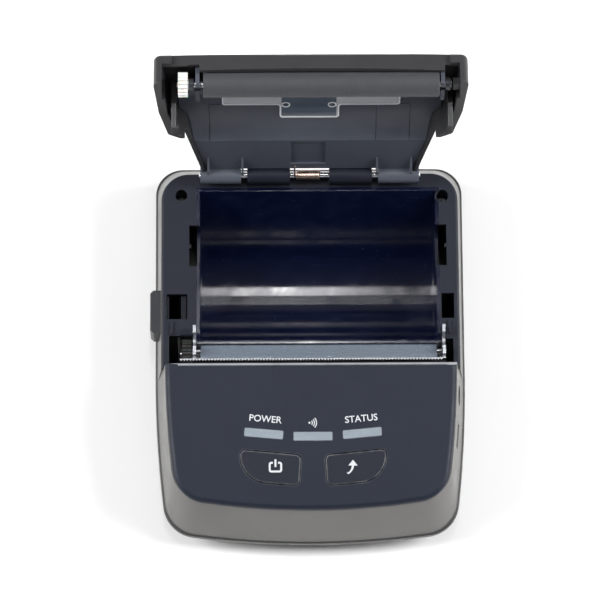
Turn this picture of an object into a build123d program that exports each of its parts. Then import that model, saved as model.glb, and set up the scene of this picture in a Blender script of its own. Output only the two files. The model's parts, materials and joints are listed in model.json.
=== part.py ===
"""Portable receipt printer for 80 mm thermal paper rolls, shown with its lid open.

Millimetres, +Z up, +X to the right of someone facing the front, -Y towards that person. The origin is
under the middle of the open printer, on the surface that it stands on. Heights are measured from that
surface. Inside the body, lengths along Y are measured from the plane that holds BODY, and inside the lid
from the hinge axis, in the direction that is horizontal when the lid is shut.
"""
from math import atan2, cos, degrees, radians, sin, sqrt, tan
import os

from build123d import *

# Driving dimensions of the case
BODY_HALF_W = 54.0
FRONT_Y = -65.4
REAR_Y = 70.0
MID_Y = -8.75  # where the body's own reference plane lies in the row
LIFT = 0.8  # height of the feet
PART_Z = 12.0  # parting line between the bottom case and the side band
SHELF_Z = 33.0  # deck beside the paper bay
STEP_Y = -8.3  # the deck behind this line, the raised control panel in front of it
WALL = 1.8
GAP = 0.2  # between pieces that lie side by side

# Paper bay and its 40 mm roll
BAY_LEFT = -38.2
BAY_RIGHT = 43.7
BAY_FRONT = 2.0
BAY_REAR = 55.5
TRAY_WALL = 1.2
TROUGH_R = 20.6
TROUGH_FLOOR_Z = 3.6
BEND_Y = 37.4
ROLL_R = 20.0
ROLL_Y = 24.0
ROLL_Z = TROUGH_FLOOR_Z + ROLL_R

# Hinge and lid
HINGE_Y = 59.7
HINGE_Z = 38.0
OPEN_ANGLE = 105.0
KNUCKLE_R = 3.0
PIN_R = 1.0
LID_HALF_W = 52.8
LID_FRONT = -66.0
SKIRT_Z = -4.7

# Platen and print head
PLATEN_Y = -58.8  # from the hinge axis, lid shut
PLATEN_Z = -1.4
PLATEN_R = 4.3
SHAFT_R = 1.5
JOURNAL_R = 1.0  # the shaft's thinner ends
BUSHING_R = 2.2
HEAD_GAP = 0.15
GEAR_MODULE = 0.4
GEAR_LEFT = -44.4
GEAR_RIGHT = -41.2
PLATE_LEFT = -40.5  # the left steel side plate
PLATE_RIGHT = 45.3
PLATE_T = 1.0

PLATEN_BODY_Y = HINGE_Y + PLATEN_Y  # platen axis when the lid is shut
PLATEN_BODY_Z = HINGE_Z + PLATEN_Z
GEAR_ROOM_R = 4.7

# Control panel
PANEL_T = 2.4
BUTTON_MID_X = 0.5
BUTTON_GAP = 0.25
BOARD_TOP_Z = 29.0
BOARD_T = 1.6

# Battery pack: two 18 mm cells side by side
CELL_R = 9.0
CELL_L = 65.0
PACK_X = (-24.8, 42.6)
PACK_Y = (-41.9, -3.5)
PACK_TOP_Z = 22.2

BODY = Plane((0, MID_Y, 0))
LID = Plane((0, MID_Y + HINGE_Y, HINGE_Z)).rotated((-OPEN_ANGLE, 0, 0))


def level(frame, height):
    """Horizontal plane of a frame."""
    return frame.offset(height)


def upright(frame, x):
    """Plane across X: its own x runs to the rear and its own y runs up."""
    return Plane(frame.from_local_coords((x, 0, 0)), x_dir=frame.y_dir, z_dir=frame.x_dir)


def facing(frame, y):
    """Plane that faces the front: its own x runs to the right and its own y runs up."""
    return Plane(frame.from_local_coords((0, y, 0)), x_dir=frame.x_dir, z_dir=-frame.y_dir)


def save(piece, label):
    piece.label = label
    export_step(piece, f"parts/{label}.step")


def block(frame, x, y, z):
    """Box between two values along each axis of a frame."""
    with BuildPart() as box:
        with BuildSketch(level(frame, z[0])):
            with Locations(((x[0] + x[1]) / 2, (y[0] + y[1]) / 2)):
                Rectangle(x[1] - x[0], y[1] - y[0])
        extrude(amount=z[1] - z[0])
    return box.part


def rod(frame, x, y, z, radius):
    """Round bar along X."""
    with BuildPart() as bar:
        with BuildSketch(upright(frame, x[0])):
            with Locations((y, z)):
                Circle(radius)
        extrude(amount=x[1] - x[0])
    return bar.part


def column(frame, x, y, z, radius):
    """Round bar along Z."""
    with BuildPart() as bar:
        with BuildSketch(level(frame, z[0])):
            with Locations((x, y)):
                Circle(radius)
        extrude(amount=z[1] - z[0])
    return bar.part


# ---------------------------------------------------------------- case

def case_outline(half_w, front_y, rear_y):
    """Plan of the case: straight sides that draw in towards a bowed front, and rounded corners."""
    narrowing = 4.0
    bow = 4.2
    front_r = 12.0
    rear_r = 9.5
    with BuildSketch() as outline:
        with BuildLine():
            Line((-half_w, rear_y), (half_w, rear_y))
            for side in (-1, 1):
                Line((side * half_w, rear_y), (side * half_w, -5))
                corner = (side * (half_w - narrowing), front_y + bow)
                TangentArc((side * half_w, -5), corner, tangent=(0, -1))
            left = (-(half_w - narrowing), front_y + bow)
            ThreePointArc(left, (0, front_y), (-left[0], left[1]))
        make_face()
        fillet(outline.vertices().group_by(Axis.Y)[0], front_r)
        fillet(outline.vertices().group_by(Axis.Y)[-1], rear_r)
    return outline.sketch


def case_loft(low, high):
    """Solid between two plans, each given as (height, half width, front, rear)."""
    with BuildPart() as body:
        for height, half_w, front_y, rear_y in (low, high):
            with BuildSketch(level(BODY, height)):
                add(case_outline(half_w, front_y, rear_y))
        loft()
    return body.part


def crown(y):
    """Height of the control panel's top, a shallow arch that falls to the front."""
    return 40.2 + (y - STEP_Y) * 0.122 - (y - STEP_Y) * (y + 62.0) * 0.0006


def crown_slab(top, thickness):
    """Everything between two copies of the control panel's top surface."""
    front, middle, rear = -75.0, -35.0, 0.0
    with BuildPart() as slab:
        with BuildSketch(upright(BODY, -60)):
            with BuildLine():
                upper = [(y, crown(y) + top) for y in (front, middle, rear)]
                lower = [(y, z - thickness) for y, z in upper]
                ThreePointArc(*upper)
                Line(upper[2], lower[2])
                ThreePointArc(*lower)
                Line(lower[0], upper[0])
            make_face()
        extrude(amount=120)
    return slab.part


BASE_PLAN = (47.0, -59.5, 62.5)
LIP_PLAN = (BODY_HALF_W, FRONT_Y, REAR_Y)
BAND_FOOT_PLAN = (BODY_HALF_W - 0.6, FRONT_Y + 0.55, REAR_Y - 0.55)
BAND_REAR_PLAN = (51.6, -57.6, 62.1)
BAND_FRONT_PLAN = (49.8, -55.0, 58.0)
FRAME_PLAN = (51.5, -57.6, 61.9)
PANEL_PLAN = (50.0, -58.3, 60.0)
FRAME_T = 2.0
FRONT_TOP_Z = 40.0
LIP_Z = 9.4
FLOOR_Z = 2.4


def grow(plan, amount):
    """A plan with every side moved outwards."""
    half_w, front_y, rear_y = plan
    return (half_w + amount, front_y - amount, rear_y + amount)


FOOT_PLACES = [(-28.0, -52.0), (28.0, -52.0), (-37.0, 50.0), (37.0, 50.0)]
CASE_SCREWS = [(-37.0, -47.6), (37.0, -47.6)]
WELLS = [(-44.6, 54.0), (46.2, 53.6)]
WELL_R = 2.1
WELL_WALL_R = 2.6
WELL_RELIEF = 0.15
WELL_FLOOR_Z = 23.0
BOSS_TOP_Z = 20.0
POCKET_X = (PACK_X[0] - GAP, PACK_X[1] + GAP)
POCKET_Y = (PACK_Y[0] - GAP, PACK_Y[1] + GAP)
POCKET_TOP_Z = PACK_TOP_Z + 0.4


def well_bosses():
    """Posts under the deck's wells, kept inside the sloping lower case."""
    with BuildPart() as bosses:
        for x, y in WELLS:
            add(column(BODY, x, y, (FLOOR_Z - 0.2, LIP_Z), 3.0))
        add(case_loft((LIFT, *grow(BASE_PLAN, -0.5)), (LIP_Z, *grow(LIP_PLAN, -0.5))), mode=Mode.INTERSECT)
        for x, y in WELLS:
            add(column(BODY, x, y, (LIP_Z, BOSS_TOP_Z), 3.0))
    return bosses.part


def bottom_case():
    outer = case_loft((LIFT, *BASE_PLAN), (LIP_Z, *LIP_PLAN))
    inner = case_loft((FLOOR_Z, *grow(BASE_PLAN, -0.6)), (LIP_Z, *grow(LIP_PLAN, -WALL)))
    bosses = well_bosses()
    with BuildPart() as case:
        add(outer)
        fillet(case.faces().sort_by(Axis.Z)[0].edges(), 1.2)
        with BuildSketch(level(BODY, LIP_Z)):
            add(case_outline(*LIP_PLAN))
        extrude(amount=PART_Z - LIP_Z)
        fillet(case.faces().sort_by(Axis.Z)[-1].edges(), 0.5)
        add(inner, mode=Mode.SUBTRACT)
        with BuildSketch(level(BODY, LIP_Z)):
            add(case_outline(*grow(LIP_PLAN, -WALL)))
        extrude(amount=PART_Z - LIP_Z + 1, mode=Mode.SUBTRACT)
        # battery pocket, a box with walls and a ceiling, open below
        add(block(BODY, (POCKET_X[0] - 1.2, POCKET_X[1] + 1.2), (POCKET_Y[0] - 1.2, POCKET_Y[1] + 1.2),
                  (LIFT, POCKET_TOP_Z + 1.2)))
        add(block(BODY, POCKET_X, POCKET_Y, (0, POCKET_TOP_Z)), mode=Mode.SUBTRACT)
        add(bosses)
        for x, y in WELLS:
            add(column(BODY, x, y, (10.0, BOSS_TOP_Z + 1), 0.9), mode=Mode.SUBTRACT)
        for x, y in CASE_SCREWS:
            add(column(BODY, x, y, (FLOOR_Z - 0.2, 14.0), 3.2))
            add(column(BODY, x, y, (0, 6.0), 2.3), mode=Mode.SUBTRACT)
            add(column(BODY, x, y, (0, 15.0), 1.2), mode=Mode.SUBTRACT)
    return case.part


def band_half(is_front, shrink):
    """One end of the side band's block, cut off at the step, and shrunk for the hollow inside."""
    top = (FRONT_TOP_Z, *grow(BAND_FRONT_PLAN, -shrink))
    if not is_front:
        top = (SHELF_Z - FRAME_T, *grow(BAND_REAR_PLAN, -shrink))
    with BuildPart() as half:
        add(case_loft((PART_Z, *grow(BAND_FOOT_PLAN, -shrink)), top))
        split(bisect_by=facing(BODY, STEP_Y), keep=Keep.TOP if is_front else Keep.BOTTOM)
    return half.part


BUTTON_WINDOW_Y = (5.6, 21.4)
BUTTON_WINDOW_Z = (15.8, 28.2)
USB_Y = -31.0
USB_Z = 26.3
JACK_Y = -17.0
JACK_Z = 27.7


def side_band():
    """Silver band round the body, with posts for the case screws and windows for button and sockets."""
    with BuildPart() as band:
        add(band_half(True, 0))
        add(band_half(False, 0))
        posts = [column(BODY, x, y, (14.0, 26.0), 3.0) for x, y in CASE_SCREWS]
        add(band_half(True, WALL), mode=Mode.SUBTRACT)
        add(band_half(False, WALL), mode=Mode.SUBTRACT)
        for post in posts:
            add(post)
        for x, y in CASE_SCREWS:
            side = 1 if x > 0 else -1
            reach = (min(x, side * 48.8), max(x, side * 48.8))
            add(block(BODY, reach, (y - 0.8, y + 0.8), (16.0, 24.0)))
            add(column(BODY, x, y, (13.0, 22.0), 0.9), mode=Mode.SUBTRACT)
        add(crown_slab(30.0 - PANEL_T, 30.0), mode=Mode.SUBTRACT)
        for x, y in WELLS:
            add(column(BODY, x, y, (BOSS_TOP_Z, SHELF_Z), WELL_WALL_R + WELL_RELIEF), mode=Mode.SUBTRACT)
        add(block(BODY, (-56, -46), BUTTON_WINDOW_Y, BUTTON_WINDOW_Z), mode=Mode.SUBTRACT)
        add(block(BODY, (44, 60), (USB_Y - 4.3, USB_Y + 4.3), (USB_Z - 2.4, USB_Z + 2.4)), mode=Mode.SUBTRACT)
        add(rod(BODY, (44, 60), JACK_Y, JACK_Z, 3.6), mode=Mode.SUBTRACT)
    return band.part


def rubber_feet():
    with BuildPart() as feet:
        for x, y in FOOT_PLACES:
            add(column(BODY, x, y, (0, LIFT), 3.4))
        fillet(feet.faces().group_by(Axis.Z)[0].edges(), 0.25)
    return feet.part


# ---------------------------------------------------------------- control panel

def button_outline(side, growth):
    """Plan of a button, a rounded slab whose outer lower corner is swept away; side is -1 or 1."""
    upper_outer = (25.2, -37.9)
    upper_inner = (4.1, -39.9)
    lower_inner = (4.8, -50.3)
    lower_outer = (16.2, -49.3)
    sweep_middle = (22.1, -46.6)
    sweep_end = (24.7, -41.9)
    points = [(BUTTON_MID_X + side * x, y) for x, y in
              (upper_outer, upper_inner, lower_inner, lower_outer, sweep_middle, sweep_end)]
    with BuildSketch() as outline:
        with BuildLine():
            Polyline(points[0], points[1], points[2], points[3])
            ThreePointArc(points[3], points[4], points[5])
            Line(points[5], points[0])
        make_face()
        corners = outline.vertices().sort_by_distance(points[0])[:1]
        corners += outline.vertices().sort_by_distance(points[1])[:1]
        corners += outline.vertices().sort_by_distance(points[2])[:1]
        fillet(corners, 1.8)
        offset(amount=growth)
    return outline.sketch


# middle of each light along X and Y, and its turn in degrees
LIGHTS = {
    "power_light": (-16.3, -32.5, -5.0),
    "radio_light": (0.5, -33.5, 0.0),
    "status_light": (17.3, -32.5, 5.0),
}
LIGHT_L = 13.2
LIGHT_W = 2.9


def light_outline(x, y, angle, growth):
    with BuildSketch() as outline:
        with Locations((x, y)):
            RectangleRounded(LIGHT_L + 2 * growth, LIGHT_W + 2 * growth, 0.4 + growth, rotation=angle)
    return outline.sketch


def crowned(outline, top, thickness):
    """A plan cut out of a slab that follows the control panel's top."""
    with BuildPart() as piece:
        with BuildSketch(level(BODY, 20)):
            add(outline)
        extrude(amount=30)
        add(crown_slab(top, thickness), mode=Mode.INTERSECT)
    return piece.part


BOARD_X = (-41.0, 41.0)
BOARD_Y = (-51.5, -28.0)
BOARD_HOLES = [(-37.5, -44.0), (37.5, -44.0), (-37.5, -30.0), (37.5, -30.0)]


RIM_H = 2.2  # rim along the paper outlet
OUTLET_X = (-45.5, 46.5)
BEAD_Y = (-9.15, -8.45)


def top_panel():
    """Dark control panel, with openings for lights and buttons, and posts for the main board."""
    with BuildPart() as panel:
        with BuildSketch(level(BODY, 20)):
            add(case_outline(*PANEL_PLAN))
        extrude(amount=30)
        add(crown_slab(0, PANEL_T), mode=Mode.INTERSECT)
        split(bisect_by=facing(BODY, STEP_Y), keep=Keep.TOP)
        top = panel.faces().filter_by(GeomType.CYLINDER).sort_by(Axis.Z)[-1]
        rim = top.edges().sort_by(Axis.Y)[:-1]
        fillet(rim, 1.8)
        # rim along the paper outlet, with a thin bead on it
        rim_top = crown(STEP_Y)
        with BuildSketch(facing(BODY, STEP_Y)):
            with Locations((2.2, rim_top - RIM_H / 2)):
                Rectangle(95.6, RIM_H)
        extrude(amount=0.9)
        add(block(BODY, OUTLET_X, BEAD_Y, (rim_top - 0.5, rim_top + 0.5)))
        bead = panel.faces().sort_by(Axis.Z)[-1]
        fillet(bead.edges().filter_by(Axis.X), 0.3)
        for x, y, angle in LIGHTS.values():
            with BuildSketch(level(BODY, 20)):
                add(light_outline(x, y, angle, 0.05))
            extrude(amount=30, mode=Mode.SUBTRACT)
        for side in (-1, 1):
            with BuildSketch(level(BODY, 20)):
                add(button_outline(side, BUTTON_GAP))
            extrude(amount=30, mode=Mode.SUBTRACT)
        for x, y in BOARD_HOLES:
            add(column(BODY, x, y, (BOARD_TOP_Z, crown(y) - 1.0), 2.4))
            add(column(BODY, x, y, (BOARD_TOP_Z - 1, crown(y) - 2.6), 0.8), mode=Mode.SUBTRACT)
    return panel.part


SWITCH_PLACES = {-1: (-14.0, -44.0), 1: (15.0, -44.0)}
SWITCH_TOP_Z = BOARD_TOP_Z + 1.4
BUTTON_TRAVEL = 0.5


def panel_button(side):
    """Button with a retaining rim under the panel and a stem over its switch."""
    x, y = SWITCH_PLACES[side]
    flange = crowned(button_outline(side, 0.9), -PANEL_T - 0.15, 0.8)
    with BuildPart() as button:
        add(crowned(button_outline(side, 0), 0.15, PANEL_T + 0.7))
        fillet(button.faces().filter_by(GeomType.CYLINDER).sort_by(Axis.Z)[-1].edges(), 0.35)
        add(flange)
        add(column(BODY, x, y, (SWITCH_TOP_Z + BUTTON_TRAVEL + 0.15, crown(y) - 1.0), 1.4))
    return button.part


def light_pipe(x, y, angle):
    """Light window, a clear bar that reaches down to its LED."""
    with BuildPart() as pipe:
        add(crowned(light_outline(x, y, angle, 0), 0.05, PANEL_T + 0.2))
        add(column(BODY, x, y, (BOARD_TOP_Z + 1.0, crown(y) - 1.0), 1.2))
    return pipe.part


def main_board():
    with BuildPart() as board:
        add(block(BODY, BOARD_X, BOARD_Y, (BOARD_TOP_Z - BOARD_T, BOARD_TOP_Z)))
        fillet(board.edges().filter_by(Axis.Z), 3.0)
        for x, y in BOARD_HOLES:
            add(column(BODY, x, y, (20, 35), 1.1), mode=Mode.SUBTRACT)
    return board.part


def board_screws():
    with BuildPart() as screws:
        for x, y in BOARD_HOLES:
            add(column(BODY, x, y, (BOARD_TOP_Z - BOARD_T - 1.2, BOARD_TOP_Z - BOARD_T), 1.8))
            add(column(BODY, x, y, (BOARD_TOP_Z - BOARD_T, BOARD_TOP_Z + 3.0), 0.8))
    return screws.part


def tact_switches():
    with BuildPart() as switches:
        for x, y in SWITCH_PLACES.values():
            add(block(BODY, (x - 2.6, x + 2.6), (y - 2.6, y + 2.6), (BOARD_TOP_Z, BOARD_TOP_Z + 0.9)))
            add(column(BODY, x, y, (BOARD_TOP_Z + 0.9, SWITCH_TOP_Z), 1.2))
    return switches.part


def status_leds():
    with BuildPart() as leds:
        for x, y, _ in LIGHTS.values():
            add(block(BODY, (x - 0.8, x + 0.8), (y - 0.6, y + 0.6), (BOARD_TOP_Z, BOARD_TOP_Z + 0.8)))
    return leds.part


def board_chips():
    """Packages on the underside of the main board: processor, memory, motor driver and coils."""
    processor = (-10, -40, 9, 9, 1.4)
    memory = (4, -40, 6, 5, 1.0)
    driver = (18, -38, 5, 6, 1.2)
    coils = [(-24, -42, 6, 6, 2.2), (28, -44, 5, 5, 2.2)]
    under = BOARD_TOP_Z - BOARD_T
    with BuildPart() as packages:
        for x, y, length, width, height in (processor, memory, driver, *coils):
            with BuildSketch(level(BODY, under - height)):
                with Locations((x, y)):
                    Rectangle(length, width)
            extrude(amount=height)
    return packages.part


def wireless_module():
    under = BOARD_TOP_Z - BOARD_T
    return block(BODY, (26, 38), (-40, -33.5), (under - 1.8, under))


def usb_socket():
    """Mini USB socket beside the board, with its metal shell and tongue."""
    y = (USB_Y - 3.9, USB_Y + 3.9)
    with BuildPart() as socket:
        add(block(BODY, (41.2, 49.6), y, (USB_Z - 2.0, USB_Z + 2.0)))
        add(block(BODY, (43.0, 51), (y[0] + 0.4, y[1] - 0.4), (USB_Z - 1.6, USB_Z + 1.6)), mode=Mode.SUBTRACT)
        add(block(BODY, (42.0, 49.0), (USB_Y - 2.4, USB_Y + 2.4), (USB_Z - 0.4, USB_Z + 0.4)))
    return socket.part


def dc_jack():
    """Round charging socket with its centre pin."""
    with BuildPart() as jack:
        add(block(BODY, (37.0, 45.5), (JACK_Y - 3.9, JACK_Y + 3.9), (JACK_Z - 3.6, JACK_Z + 3.6)))
        add(rod(BODY, (45.5, 50.4), JACK_Y, JACK_Z, 3.4))
        add(rod(BODY, (40.5, 51), JACK_Y, JACK_Z, 2.85), mode=Mode.SUBTRACT)
        add(rod(BODY, (40.0, 49.6), JACK_Y, JACK_Z, 0.85))
    return jack.part


# ---------------------------------------------------------------- battery

CASE_T = 0.8


def battery_case():
    """Hollow pack that holds the cells."""
    with BuildPart() as case:
        add(block(BODY, PACK_X, PACK_Y, (FLOOR_Z, PACK_TOP_Z)))
        fillet(case.edges().filter_by(Axis.Z), 1.5)
        add(block(BODY, (PACK_X[0] + CASE_T, PACK_X[1] - CASE_T), (PACK_Y[0] + CASE_T, PACK_Y[1] - CASE_T),
                  (FLOOR_Z + CASE_T, PACK_TOP_Z - CASE_T)), mode=Mode.SUBTRACT)
    return case.part


def battery_cells():
    start = (PACK_X[0] + PACK_X[1] - CELL_L) / 2
    middle = (PACK_Y[0] + PACK_Y[1]) / 2
    height = FLOOR_Z + CASE_T + CELL_R
    with BuildPart() as cells:
        for side in (-1, 1):
            add(rod(BODY, (start, start + CELL_L), middle + side * (CELL_R + 0.05), height, CELL_R))
    return cells.part


def battery_cover():
    """Outer face of the pack, flush with the bottom case, with a finger grip."""
    with BuildPart() as cover:
        add(block(BODY, PACK_X, PACK_Y, (LIFT, FLOOR_Z)))
        fillet(cover.edges().filter_by(Axis.Z), 1.5)
        for row in range(4):
            y = PACK_Y[0] + 4 + row * 2.2
            add(block(BODY, (1, 17), (y, y + 1.0), (LIFT - 0.2, LIFT + 0.5)), mode=Mode.SUBTRACT)
    return cover.part


def battery_contacts():
    """Spring blades in the roof of the pocket, which meet pads on the pack's top."""
    with BuildPart() as contacts:
        for step in range(3):
            x = -18 + step * 4
            add(block(BODY, (x, x + 1.6), (-40, -34), (PACK_TOP_Z + 0.05, PACK_TOP_Z + 0.4)))
    return contacts.part


# ---------------------------------------------------------------- inner frame and paper tray

NOTCH_Y = (28.4, 43.1)
LEFT_HOLE = ((-49.7, -42.5), (9.4, 18.3))
RIGHT_HOLE = ((45.3, 49.7), (9.4, 18.3))
BODY_KNUCKLES = ((-21.6, -6.8), (6.8, 21.6))
LID_KNUCKLES = ((-37.9, -23.8), (23.8, 37.9))


SLIDER_Y = (6.2, 20.8)
SLIDER_Z = (29.2, 30.6)


def knuckle(frame, x, y, z, bore):
    with BuildPart() as tube:
        add(rod(frame, x, y, z, KNUCKLE_R))
        add(rod(frame, (x[0] - 1, x[1] + 1), y, z, bore), mode=Mode.SUBTRACT)
    return tube.part


def inner_frame():
    """Deck round the paper bay, with screw wells, latch holes, roll notches and the body's hinge knuckles."""
    under = SHELF_Z - FRAME_T
    with BuildPart() as frame:
        with BuildSketch(level(BODY, under)):
            add(case_outline(*FRAME_PLAN))
        extrude(amount=FRAME_T)
        split(bisect_by=facing(BODY, STEP_Y + 0.15), keep=Keep.BOTTOM)
        fillet(frame.faces().sort_by(Axis.Z)[-1].edges().sort_by(Axis.Y)[1:], 0.9)
        # rails that guide the latch slider under the deck
        for y in (SLIDER_Y[0] - 1.0, SLIDER_Y[1] + 0.3):
            add(block(BODY, (-47.0, -41.0), (y, y + 0.7), (28.2, under)))
        # paper bay and the open stretch for the print mechanism
        bay_x = (BAY_LEFT - TRAY_WALL, BAY_RIGHT + TRAY_WALL)
        bay_y = (BAY_FRONT - TRAY_WALL, BAY_REAR + TRAY_WALL)
        through = (under - 1, SHELF_Z + 1)
        add(block(BODY, bay_x, bay_y, through), mode=Mode.SUBTRACT)
        add(block(BODY, (-48.8, 49.2), (STEP_Y - 1, BAY_FRONT), through), mode=Mode.SUBTRACT)
        for x, catch_x in ((-41.9, -41.9), (BAY_RIGHT + 0.5, BAY_RIGHT + 3.0)):
            add(block(BODY, (x, x + 3.2), NOTCH_Y, through), mode=Mode.SUBTRACT)
            add(block(BODY, (catch_x, catch_x + 0.7), (35.0, 36.4), (under, SHELF_Z - 0.3)))
        # room for the platen's gear when the lid is shut
        gear_x = (GEAR_LEFT - 0.4, GEAR_RIGHT + 0.6)
        add(block(BODY, (-48.8, BAY_LEFT - 0.8), (BAY_FRONT - 1, 3.4), through), mode=Mode.SUBTRACT)
        add(rod(BODY, gear_x, PLATEN_BODY_Y, PLATEN_BODY_Z, GEAR_ROOM_R), mode=Mode.SUBTRACT)
        for x, y in (LEFT_HOLE, RIGHT_HOLE):
            add(block(BODY, x, y, (under - 1, SHELF_Z + 1)), mode=Mode.SUBTRACT)
        # the steel side plates stand up through these slots
        for x in (PLATE_LEFT, PLATE_RIGHT):
            add(block(BODY, (x - 0.3, x + PLATE_T + 0.3), (BAY_FRONT - 1, 6.2), (under - 1, SHELF_Z + 1)),
                mode=Mode.SUBTRACT)
        for x, y in WELLS:
            add(column(BODY, x, y, (BOSS_TOP_Z, SHELF_Z - 0.5), WELL_WALL_R))
            add(column(BODY, x, y, (WELL_FLOOR_Z, SHELF_Z + 1), WELL_R), mode=Mode.SUBTRACT)
            add(column(BODY, x, y, (BOSS_TOP_Z - 1, WELL_FLOOR_Z + 1), 1.2), mode=Mode.SUBTRACT)
        # small ribs beside the gear opening
        for x in (-48.2, 47.6):
            add(block(BODY, (x, x + 0.6), (3.8, 8.4), (SHELF_Z - 0.5, SHELF_Z + 0.9)))
        for x in BODY_KNUCKLES:
            add(block(BODY, x, (HINGE_Y - 2.2, HINGE_Y + 1.0), (under, HINGE_Z)))
            add(knuckle(BODY, x, HINGE_Y, HINGE_Z, PIN_R))
            add(rod(BODY, (x[0] - 1, x[1] + 1), HINGE_Y, HINGE_Z, PIN_R), mode=Mode.SUBTRACT)
    return frame.part


def trough(inset, x):
    """The bay's cross-section, a round trough with a sloping back, extruded between two places."""
    floor = TROUGH_FLOOR_Z - inset
    front = BAY_FRONT - inset
    radius = TROUGH_R + inset
    bend_y = BEND_Y + inset * 0.6  # where the floor and the sloping back would meet
    slope = atan2(SHELF_Z - floor, BAY_REAR + inset - bend_y)
    reach = radius * tan(slope / 2)
    centre = (bend_y - reach, floor + radius)
    middle = (centre[0] + radius * sin(slope / 2), centre[1] - radius * cos(slope / 2))
    lift_off = (bend_y + reach * cos(slope), floor + reach * sin(slope))
    with BuildPart() as body:
        with BuildSketch(upright(BODY, x[0])):
            with BuildLine():
                Line((front, SHELF_Z), (front, floor + radius))
                TangentArc((front, floor + radius), (front + radius, floor), tangent=(0, -1))
                Line((front + radius, floor), (centre[0], floor))
                ThreePointArc((centre[0], floor), middle, lift_off)
                Line(lift_off, (BAY_REAR + inset, SHELF_Z))
                Line((BAY_REAR + inset, SHELF_Z), (front, SHELF_Z))
            make_face()
        extrude(amount=x[1] - x[0])
    return body.part


SENSOR_X = -16.6


def paper_tray():
    """Trough for the roll, with end walls, roll notches and a window for the paper sensor."""
    with BuildPart() as tray:
        add(trough(TRAY_WALL, (BAY_LEFT - TRAY_WALL, BAY_RIGHT + TRAY_WALL)))
        add(trough(0, (BAY_LEFT, BAY_RIGHT)), mode=Mode.SUBTRACT)
        for x in (BAY_LEFT - 2, BAY_RIGHT - 1):
            add(block(BODY, (x, x + 3), NOTCH_Y, (24.0, SHELF_Z + 1)), mode=Mode.SUBTRACT)
        add(block(BODY, (SENSOR_X - 1.2, SENSOR_X + 1.2), (0, 6), (10.4, 14.0)), mode=Mode.SUBTRACT)
        for x, y in WELLS:
            add(column(BODY, x, y, (BOSS_TOP_Z, SHELF_Z + 1), WELL_WALL_R + WELL_RELIEF), mode=Mode.SUBTRACT)
        # the shut lid's roller turns over the edge of the front wall
        add(rod(BODY, (BAY_LEFT - 2, BAY_RIGHT + 2), PLATEN_BODY_Y, PLATEN_BODY_Z, PLATEN_R + 0.5),
            mode=Mode.SUBTRACT)
    return tray.part


def paper_sensor():
    """Reflective sensor that looks into the trough through its window."""
    return block(BODY, (SENSOR_X - 2.2, SENSOR_X + 2.2), (-1.5, 0.7), (10.0, 14.4))


def frame_screws():
    """Screws at the bottom of the two wells."""
    with BuildPart() as screws:
        for x, y in WELLS:
            add(column(BODY, x, y, (WELL_FLOOR_Z, WELL_FLOOR_Z + 1.6), 1.9))
            add(column(BODY, x, y, (11.0, WELL_FLOOR_Z), 0.9))
            cross = ((x - 1.1, x + 1.1), (y - 0.25, y + 0.25)), ((x - 0.25, x + 0.25), (y - 1.1, y + 1.1))
            for arm_x, arm_y in cross:
                add(block(BODY, arm_x, arm_y, (WELL_FLOOR_Z + 0.8, WELL_FLOOR_Z + 2)), mode=Mode.SUBTRACT)
    return screws.part


def case_screws():
    """Screws that hold the bottom case to the side band."""
    with BuildPart() as screws:
        for x, y in CASE_SCREWS:
            add(column(BODY, x, y, (4.4, 6.0), 2.0))
            add(column(BODY, x, y, (6.0, 21.0), 0.9))
            cross = ((x - 1.1, x + 1.1), (y - 0.25, y + 0.25)), ((x - 0.25, x + 0.25), (y - 1.1, y + 1.1))
            for arm_x, arm_y in cross:
                add(block(BODY, arm_x, arm_y, (4, 5.2)), mode=Mode.SUBTRACT)
    return screws.part


def hinge_pin():
    with BuildPart() as pin:
        add(rod(BODY, (-38.4, 38.4), HINGE_Y, HINGE_Z, PIN_R))
        chamfer(pin.edges().filter_by(GeomType.CIRCLE), 0.3)
    return pin.part


SPRING_X = (-4.6, 3.6)
SPRING_WIRE_R = 0.28
SPRING_R = 1.38
SPRING_PITCH = 0.63


def hinge_spring():
    """Torsion spring round the hinge pin, wound close."""
    start = BODY.from_local_coords((SPRING_X[0], HINGE_Y, HINGE_Z))
    length = SPRING_X[1] - SPRING_X[0]
    with BuildPart() as spring:
        with BuildLine() as path:
            Helix(pitch=SPRING_PITCH, height=length, radius=SPRING_R, center=start, direction=(1, 0, 0))
        with BuildSketch(Plane(path.line @ 0, z_dir=path.line % 0)):
            Circle(SPRING_WIRE_R)
        sweep(is_frenet=True)
    return spring.part


def spring_leg():
    """The torsion spring's straight end, which lies along the lid and turns with it."""
    reach = (-0.9, -7.8)
    with BuildPart() as leg:
        with BuildSketch(facing(LID, reach[0])):
            with Locations((SPRING_X[0] - 0.6, -1.05)):
                Circle(SPRING_WIRE_R)
        extrude(amount=reach[0] - reach[1])
    return leg.part


# ---------------------------------------------------------------- print mechanism

HEAD_REACH = PLATEN_R + HEAD_GAP
HEAD_SUM = PLATEN_BODY_Y + PLATEN_BODY_Z - HEAD_REACH * sqrt(2)  # y + z is the same all over the head's face
HEAD_TOP_Y = -5.2
HEAD_LOW_Y = 0.7
HEAD_T = 0.8
HEAD_X = (-37.9, 43.4)
HEAD_PIVOT = (-1.2, 29.2)
HEAD_PIN_R = 0.8
BRACKET_Y = -9.6
BRACKET_FLOOR_Z = 24.6
BRACKET_TOP_Z = 35.4
SLOT_R = BUSHING_R + 0.15
DRIVE = {"teeth": 24, "y": -1.7, "z": 27.35}
IDLER = {"teeth": 28, "angle": 208.0}
PINION = {"teeth": 12, "angle": 195.0}
PLATEN_TEETH = 19
MOTOR_R = 8.5


def head_point(y, depth):
    """Point on the head's sloping face, or below it by depth."""
    return (y - depth / sqrt(2), HEAD_SUM - y - depth / sqrt(2))


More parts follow.
